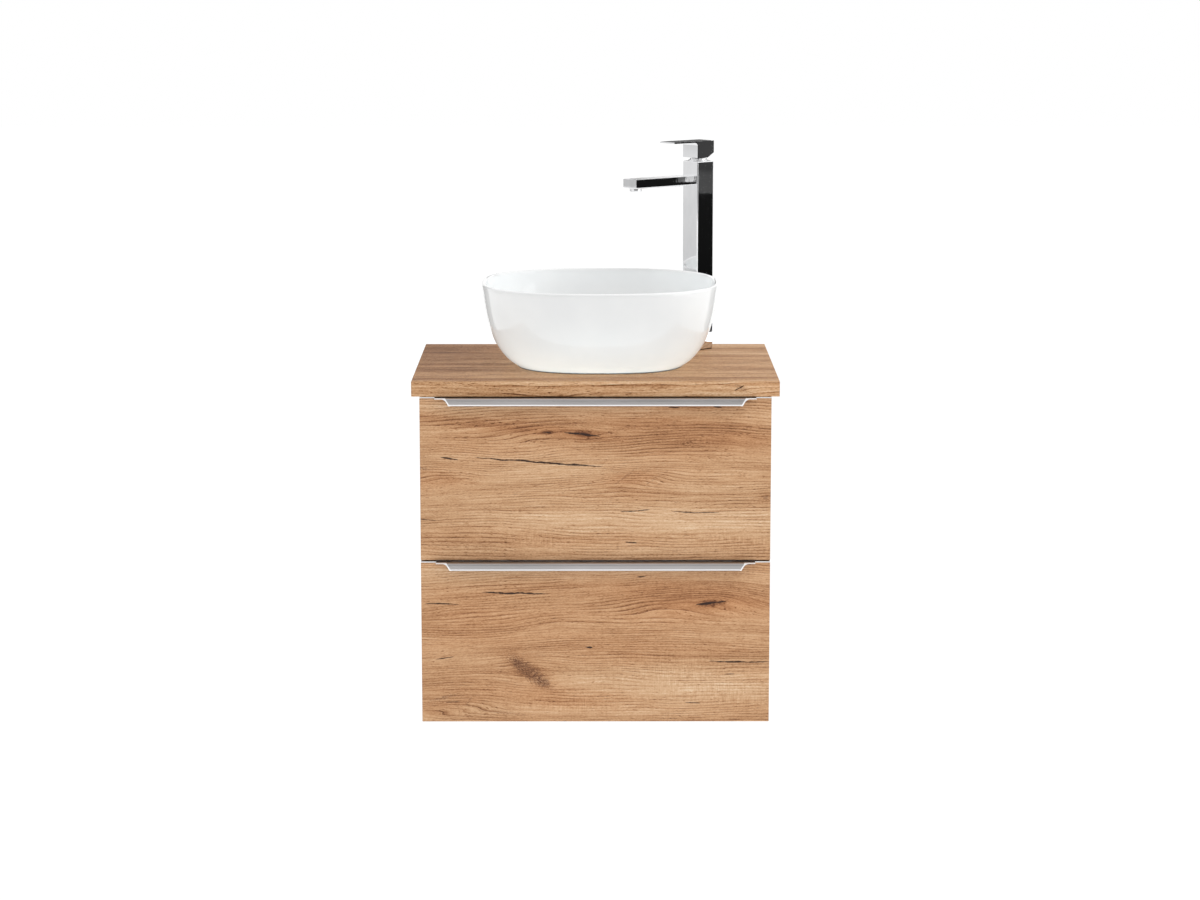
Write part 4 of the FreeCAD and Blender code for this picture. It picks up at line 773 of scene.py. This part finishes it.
# ---------------------------------------------------------------- tap
# A tall mixer of square chromium-plated brass: column, flat spout, collar, and a lever block
# with a thin plate. Edges are broken just enough to catch a line of light. Each piece is drawn
# with the spout along +X, from the worktop up, and then turned and set in place.
low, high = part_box("cartridge_collar")
tap_foot = Vector(((low.x + high.x) / 2, (low.y + high.y) / 2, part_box("worktop")[1].z))
in_place = Matrix.Translation(tap_foot) @ Matrix.Rotation(radians(-140), 4, "Z")
HALF_SIDE = 0.019
COLUMN_TOP = 0.329
SPOUT_HALF, SPOUT_TIP = 0.017, 0.157
SPOUT_LOW, SPOUT_TOP = 0.288, 0.3045
NOZZLE_X = 0.143
LEVER_LOW, LEVER_TOP = 0.335, 0.364
LEVER_BEVEL_TOP = 0.3435
LEVER_WALL, LEVER_HOLLOW = 0.0028, 0.018
PLATE_LOW, PLATE_LENGTH, PLATE_ROOT = 0.3616, 0.053, 0.006


def block(name, low, high):
    """A block between two corners, left in edit mode."""
    bpy.ops.object.select_all(action="DESELECT")
    low, high = Vector(low), Vector(high)
    bpy.ops.mesh.primitive_cube_add(size=1, location=(low + high) / 2, scale=high - low)
    piece = bpy.context.object
    piece.name = name
    bpy.ops.object.transform_apply(location=True, rotation=True, scale=True)
    bpy.ops.object.mode_set(mode="EDIT")
    return piece


def broken(piece, width, segments=3, limit=30):
    """Sets the piece in place and rounds every edge sharper than the limit by a small width."""
    shut(piece)
    piece.data.transform(in_place)
    bpy.ops.object.shade_smooth()
    modified(piece, "BEVEL", width=width, segments=segments, limit_method="ANGLE",
             angle_limit=radians(limit), harden_normals=True)


def fitted(piece, node, body="root"):
    """Plates the piece and puts it in the place of a CAD part."""
    chrome.onto(piece)
    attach(piece, body)
    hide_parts(node)


column = block("square_column", (-HALF_SIDE, -HALF_SIDE, 0.001), (HALF_SIDE, HALF_SIDE, COLUMN_TOP))
broken(column, 0.0017)
fitted(column, "tap_column")

spout = block("flat_spout", (HALF_SIDE, -SPOUT_HALF, SPOUT_LOW), (SPOUT_TIP, SPOUT_HALF, SPOUT_TOP))
pick_edges(spout, lambda a, b: abs(a.y - b.y) < 1e-5 and a.z + b.z < 2 * SPOUT_LOW + 0.001)
bpy.ops.mesh.bevel(offset=0.0028, segments=4, affect="EDGES")
pick_faces(spout, lambda middle, normal: normal.z < -0.999)
bpy.ops.mesh.inset(thickness=0.0012)
bpy.ops.mesh.extrude_region_move(TRANSFORM_OT_translate={"value": (0, 0, 0.0006)})
broken(spout, 0.0012)
modified(spout, "WEIGHTED_NORMAL", weight=50, keep_sharp=True)
fitted(spout, "tap_spout")

mouth = Vector((NOZZLE_X, 0, 0))
nozzle = turned("nozzle_ring", mouth, [
    (0.0087, 0.2886), (0.0087, 0.2838), (0.0092, 0.2832), (0.0099, 0.283), (0.0104, 0.2835),
    (0.0105, 0.2842), (0.0105, 0.2856), (0.0101, 0.2859), (0.0101, 0.2865), (0.0105, 0.2868),
    (0.0105, 0.2898), (0.0087, 0.2898), (0.0087, 0.2886)], around=64)
shut(nozzle)
nozzle.data.transform(in_place)
bpy.ops.object.shade_smooth_by_angle(angle=radians(30))
fitted(nozzle, "aerator_housing")

sieve = Finish("nozzle_sieve")
x, y, z = sieve.place()
across = sieve.noise(x / 0.6, y / 0.6, z / 0.6, 1.0)
sieve.set(
    Base_Color=sieve.ramp(across, [(0.3, (0.30, 0.30, 0.29)), (0.7, (0.42, 0.42, 0.41))]),
    Roughness=0.4 + across * 0.2,
)
sieve.onto(nodes["aerator_insert"])

collar = turned("collar", Vector((0, 0, 0)), [
    (0.0110, 0.3290), (0.0174, 0.3290), (0.0175, 0.3292), (0.0175, 0.3306), (0.0173, 0.3309),
    (0.0155, 0.3310), (0.0152, 0.3312), (0.0147, 0.3332), (0.0144, 0.3335), (0.0140, 0.3336),
    (0.0114, 0.3336), (0.0110, 0.3332), (0.0110, 0.3290)],
    around=64)
shut(collar)
collar.data.transform(in_place)
bpy.ops.object.shade_smooth_by_angle(angle=radians(30))
fitted(collar, "cartridge_collar")

lever = block("lever_block", (-HALF_SIDE, -HALF_SIDE, LEVER_LOW), (HALF_SIDE, HALF_SIDE, LEVER_TOP))
bpy.ops.mesh.select_all(action="SELECT")
bpy.ops.mesh.bisect(plane_co=(0, 0, PLATE_LOW), plane_no=(0, 0, 1))
pick_faces(lever, lambda middle, normal: normal.x > 0.9 and middle.z > PLATE_LOW)
bpy.ops.mesh.extrude_region_move(TRANSFORM_OT_translate={"value": (PLATE_LENGTH, 0, 0)})
pick_edges(lever, lambda a, b: abs(a.x - HALF_SIDE) + abs(b.x - HALF_SIDE) < 1e-5
           and abs(a.z - PLATE_LOW) + abs(b.z - PLATE_LOW) < 1e-5)
bpy.ops.mesh.bevel(offset=PLATE_ROOT, segments=6, affect="EDGES")
bpy.ops.mesh.select_all(action="SELECT")
bpy.ops.mesh.bisect(plane_co=(-HALF_SIDE, 0, LEVER_BEVEL_TOP), plane_no=(-0.0085, 0, -0.014),
                    clear_outer=True, use_fill=True)
pick_faces(lever, lambda middle, normal: normal.z < -0.5 and middle.z < 0.345)
bpy.ops.mesh.inset(thickness=LEVER_WALL)
bpy.ops.mesh.extrude_region_move(TRANSFORM_OT_translate={"value": (0, 0, LEVER_HOLLOW)})
broken(lever, 0.00025, segments=2)
fitted(lever, "lever", "lever")
chrome.onto(nodes["cartridge_stem"], nodes["lever_screw"])

brass = Finish("turned_brass")
x, y, z = brass.place()
tarnish = brass.noise(x / 12.0, y / 12.0, z / 12.0, 4.0, 0.6)
lathe = brass.noise(x / 30.0, y / 30.0, z / 0.4, 2.0)
brass.set(
    Base_Color=brass.ramp(tarnish, [(0.3, (0.50, 0.34, 0.13)), (0.7, (0.74, 0.56, 0.27))]),
    Metallic=1.0,
    Roughness=0.25 + tarnish * 0.25,
    Normal=brass.bump(lathe, 0.00006),
)
brass.onto(*[nodes[name] for name in (
    "tap_shank", "tap_nut", "cartridge_body", "cartridge_nut", "cartridge_rotor")])


# ---------------------------------------------------------------- studio
# A plain pale floor well below the hung cabinet, and an even white surround that is dimmer in
# front. Soft lights fall from the right and from low in front, and the bowl has its own. Dark
# and pale cards stand where only polished surfaces mirror them.
def sheet(name, middle, faces, width, height):
    """A flat rectangle of the studio, looking the way it faces."""
    bpy.ops.object.select_all(action="DESELECT")
    turn = Vector(faces).to_track_quat("Z", "Y").to_euler()
    bpy.ops.mesh.primitive_plane_add(size=1, location=middle, rotation=turn,
                                     scale=(width, height, 1))
    made = bpy.context.object
    made.name = name
    made.scale = (width, height, 1)
    return made


FLOOR_Z = -1.45
FLOOR_GREY = (0.9, 0.9, 0.9)
floor_paint = Finish("studio_floor_paint")
floor_paint.set(Base_Color=FLOOR_GREY, Roughness=0.9)
floor_paint.shader.inputs["Specular IOR Level"].default_value = 0.0
floor_paint.shader.inputs["Emission Color"].default_value = (*FLOOR_GREY, 1.0)
floor_paint.shader.inputs["Emission Strength"].default_value = 0.23
floor_paint.onto(sheet("studio_floor", (0, 0, FLOOR_Z), (0, 0, 1), 60, 60))


def graded(card, shades, brightest):
    """Makes a card glow by (height, grey) shades from its lower to its upper edge."""
    finish = Finish(card.name + "_scale")
    spot = finish.node("ShaderNodeTexCoord", {}, {}, "Generated")
    apart = finish.node("ShaderNodeSeparateXYZ", {}, {0: spot})
    upward = Signal(finish, apart.socket.node.outputs[1])
    greys = [(place, (grey, grey, grey)) for place, grey in shades]
    finish.set(Base_Color=(0.0, 0.0, 0.0), Roughness=1.0, Emission_Color=finish.ramp(upward, greys))
    finish.shader.inputs["Emission Strength"].default_value = brightest
    finish.shader.inputs["Specular IOR Level"].default_value = 0.0
    finish.material.cycles.emission_sampling = "NONE"
    finish.onto(card)


for name, middle, faces, width, height, brightest, shades in (
        ("dark_card", (1.35, -0.30, 0.19), (-1, 0, 0), 0.24, 0.46, 1.0,
         [(0.0, 0.004), (1.0, 0.012)]),
        ("dim_card", (1.34, -0.2218, 0.3475), (-1, 0, 0), 0.0635, 0.185, 1.0,
         [(0.0, 0.080), (0.22, 0.075), (0.28, 0.046),
          (0.45, 0.060), (1.0, 0.050)]),
        ("slim_card", (1.33, -0.2622, 0.281), (-1, 0, 0), 0.0215, 0.040, 1.0,
         [(0.0, 0.8), (1.0, 0.6)]),
        ("thin_card", (1.33, -0.281, 0.281), (-1, 0, 0), 0.016, 0.040, 1.0,
         [(0.0, 0.16), (1.0, 0.10)]),
        ("grey_card", (-1.3, 0.08, 0.22), (1, 0, 0), 0.56, 0.56, 1.0,
         [(0.0, 0.66), (0.45, 0.76), (0.6, 0.84),
          (1.0, 0.92)]),
        ("end_card", (-1.29, 0.062, 0.27), (1, 0, 0), 0.055, 0.07, 1.0,
         [(0.0, 0.60), (1.0, 0.63)]),
        ("white_card", (1.9, -0.75, 0.45), (-1, 0, 0), 1.5, 1.5, 2.2,
         [(0.0, 1.0), (1.0, 0.9)]),
        ("left_flag", (-1.15, 1.5, 0.3), (0.5, -1, 0), 0.75, 1.7, 1.0,
         [(0.0, 0.20), (0.5, 0.04), (1.0, 0.12)]),
        ("right_flag", (1.35, 1.5, 0.3), (-0.6, -1, 0), 0.75, 1.7, 1.0,
         [(0.0, 0.20), (0.5, 0.04), (1.0, 0.12)]),
        ("back_flag", (0.05, 1.9, 0.72), (0, -1, 0), 0.45, 0.34, 1.0,
         [(0.0, 0.16), (1.0, 0.05)]),
        ("front_flag", (0.1, -3.0, 0.16), (0, 1, 0), 4.5, 0.26, 1.0,
         [(0.0, 0.03), (1.0, 0.06)])):
    card = sheet(name, middle, faces, width, height)
    graded(card, shades, brightest)
    card.visible_camera = False
    card.visible_diffuse = False
    card.visible_transmission = False
    card.visible_shadow = False

FRONT_STRENGTH, BACK_STRENGTH = 0.66, 1.0
surround = bpy.data.worlds.new("white_surround")
surround.use_nodes = True
sky = surround.node_tree
spot = sky.nodes.new("ShaderNodeTexCoord")
apart = sky.nodes.new("ShaderNodeSeparateXYZ")
dimmer = sky.nodes.new("ShaderNodeMapRange")
sky.links.new(spot.outputs["Generated"], apart.inputs[0])
sky.links.new(apart.outputs[1], dimmer.inputs["Value"])
for name, value in (("From Min", -1.0), ("From Max", 0.0), ("To Min", FRONT_STRENGTH),
                    ("To Max", BACK_STRENGTH)):
    dimmer.inputs[name].default_value = value
sky.links.new(dimmer.outputs["Result"], sky.nodes["Background"].inputs["Strength"])
sky.nodes["Background"].inputs["Color"].default_value = (1.0, 1.0, 1.0, 1.0)
bpy.context.scene.world = surround

bowl_only = bpy.data.collections.new("bowl_light_reach")
bowl_only.objects.link(bowl)
all_but_bowl = bpy.data.collections.new("room_light_reach")
for piece in bpy.context.scene.objects:
    if piece.type == "MESH" and piece != bowl:
        all_but_bowl.objects.link(piece)


def lamp(name, place, target, width, height, watts, reach, shade=(1, 1, 1)):
    """A soft rectangular light that falls only on the pieces of one collection."""
    bpy.ops.object.light_add(type="AREA", location=place)
    made = bpy.context.object
    made.name = name
    made.data.shape = "RECTANGLE"
    made.data.size, made.data.size_y = width, height
    made.data.energy = watts
    made.data.color = shade
    made.rotation_euler = (Vector(place) - Vector(target)).to_track_quat("Z", "Y").to_euler()
    made.visible_glossy = False
    made.light_linking.receiver_collection = reach
    return made


lamp("soft_side_light", (1.9, -1.6, 1.9), (0, -0.2, 0.1), 1.8, 1.4, 14.0, all_but_bowl)
lamp("low_front_light", (0.0, -3.2, -0.3), (0, -0.3, 0.1), 2.4, 1.0, 7.0, all_but_bowl)
lamp("bowl_side_light", (2.4, -0.5, 1.3), (0, -0.24, 0.15), 0.9, 0.7, 7.0, bowl_only)
lamp("bowl_top_light", (0.75, -0.35, 1.7), (0, -0.24, 0.15), 0.7, 0.7, 8.5, bowl_only)
for name, place, watts, shade in (("under_bowl_light", (0.0, -0.22, -1.4), 27.0, (0.76, 0.94, 1.0)),
                                  ("left_bowl_light", (-1.2, -0.15, -1.0), 3.2, (0.85, 0.97, 1.0)),
                                  ("right_bowl_light", (1.2, -0.15, -1.0), 2.5, (0.75, 0.93, 1.0))):
    soft = lamp(name, place, (0, -0.24, 0.1), 1.0, 0.5, watts, bowl_only, shade)
    soft.data.use_shadow = False

CAMERA_PLACE = (-0.004, -5.46, 0.81)
CAMERA_TURN = (radians(80.43), 0, radians(-0.13))
CAMERA_LENS = 93.21
bpy.ops.object.camera_add(location=CAMERA_PLACE, rotation=CAMERA_TURN)
camera = bpy.context.object
camera.data.sensor_width = 36.0
camera.data.lens = CAMERA_LENS
camera.data.clip_end = 100.0
bpy.context.scene.camera = camera
bpy.context.scene.view_settings.view_transform = "Standard"
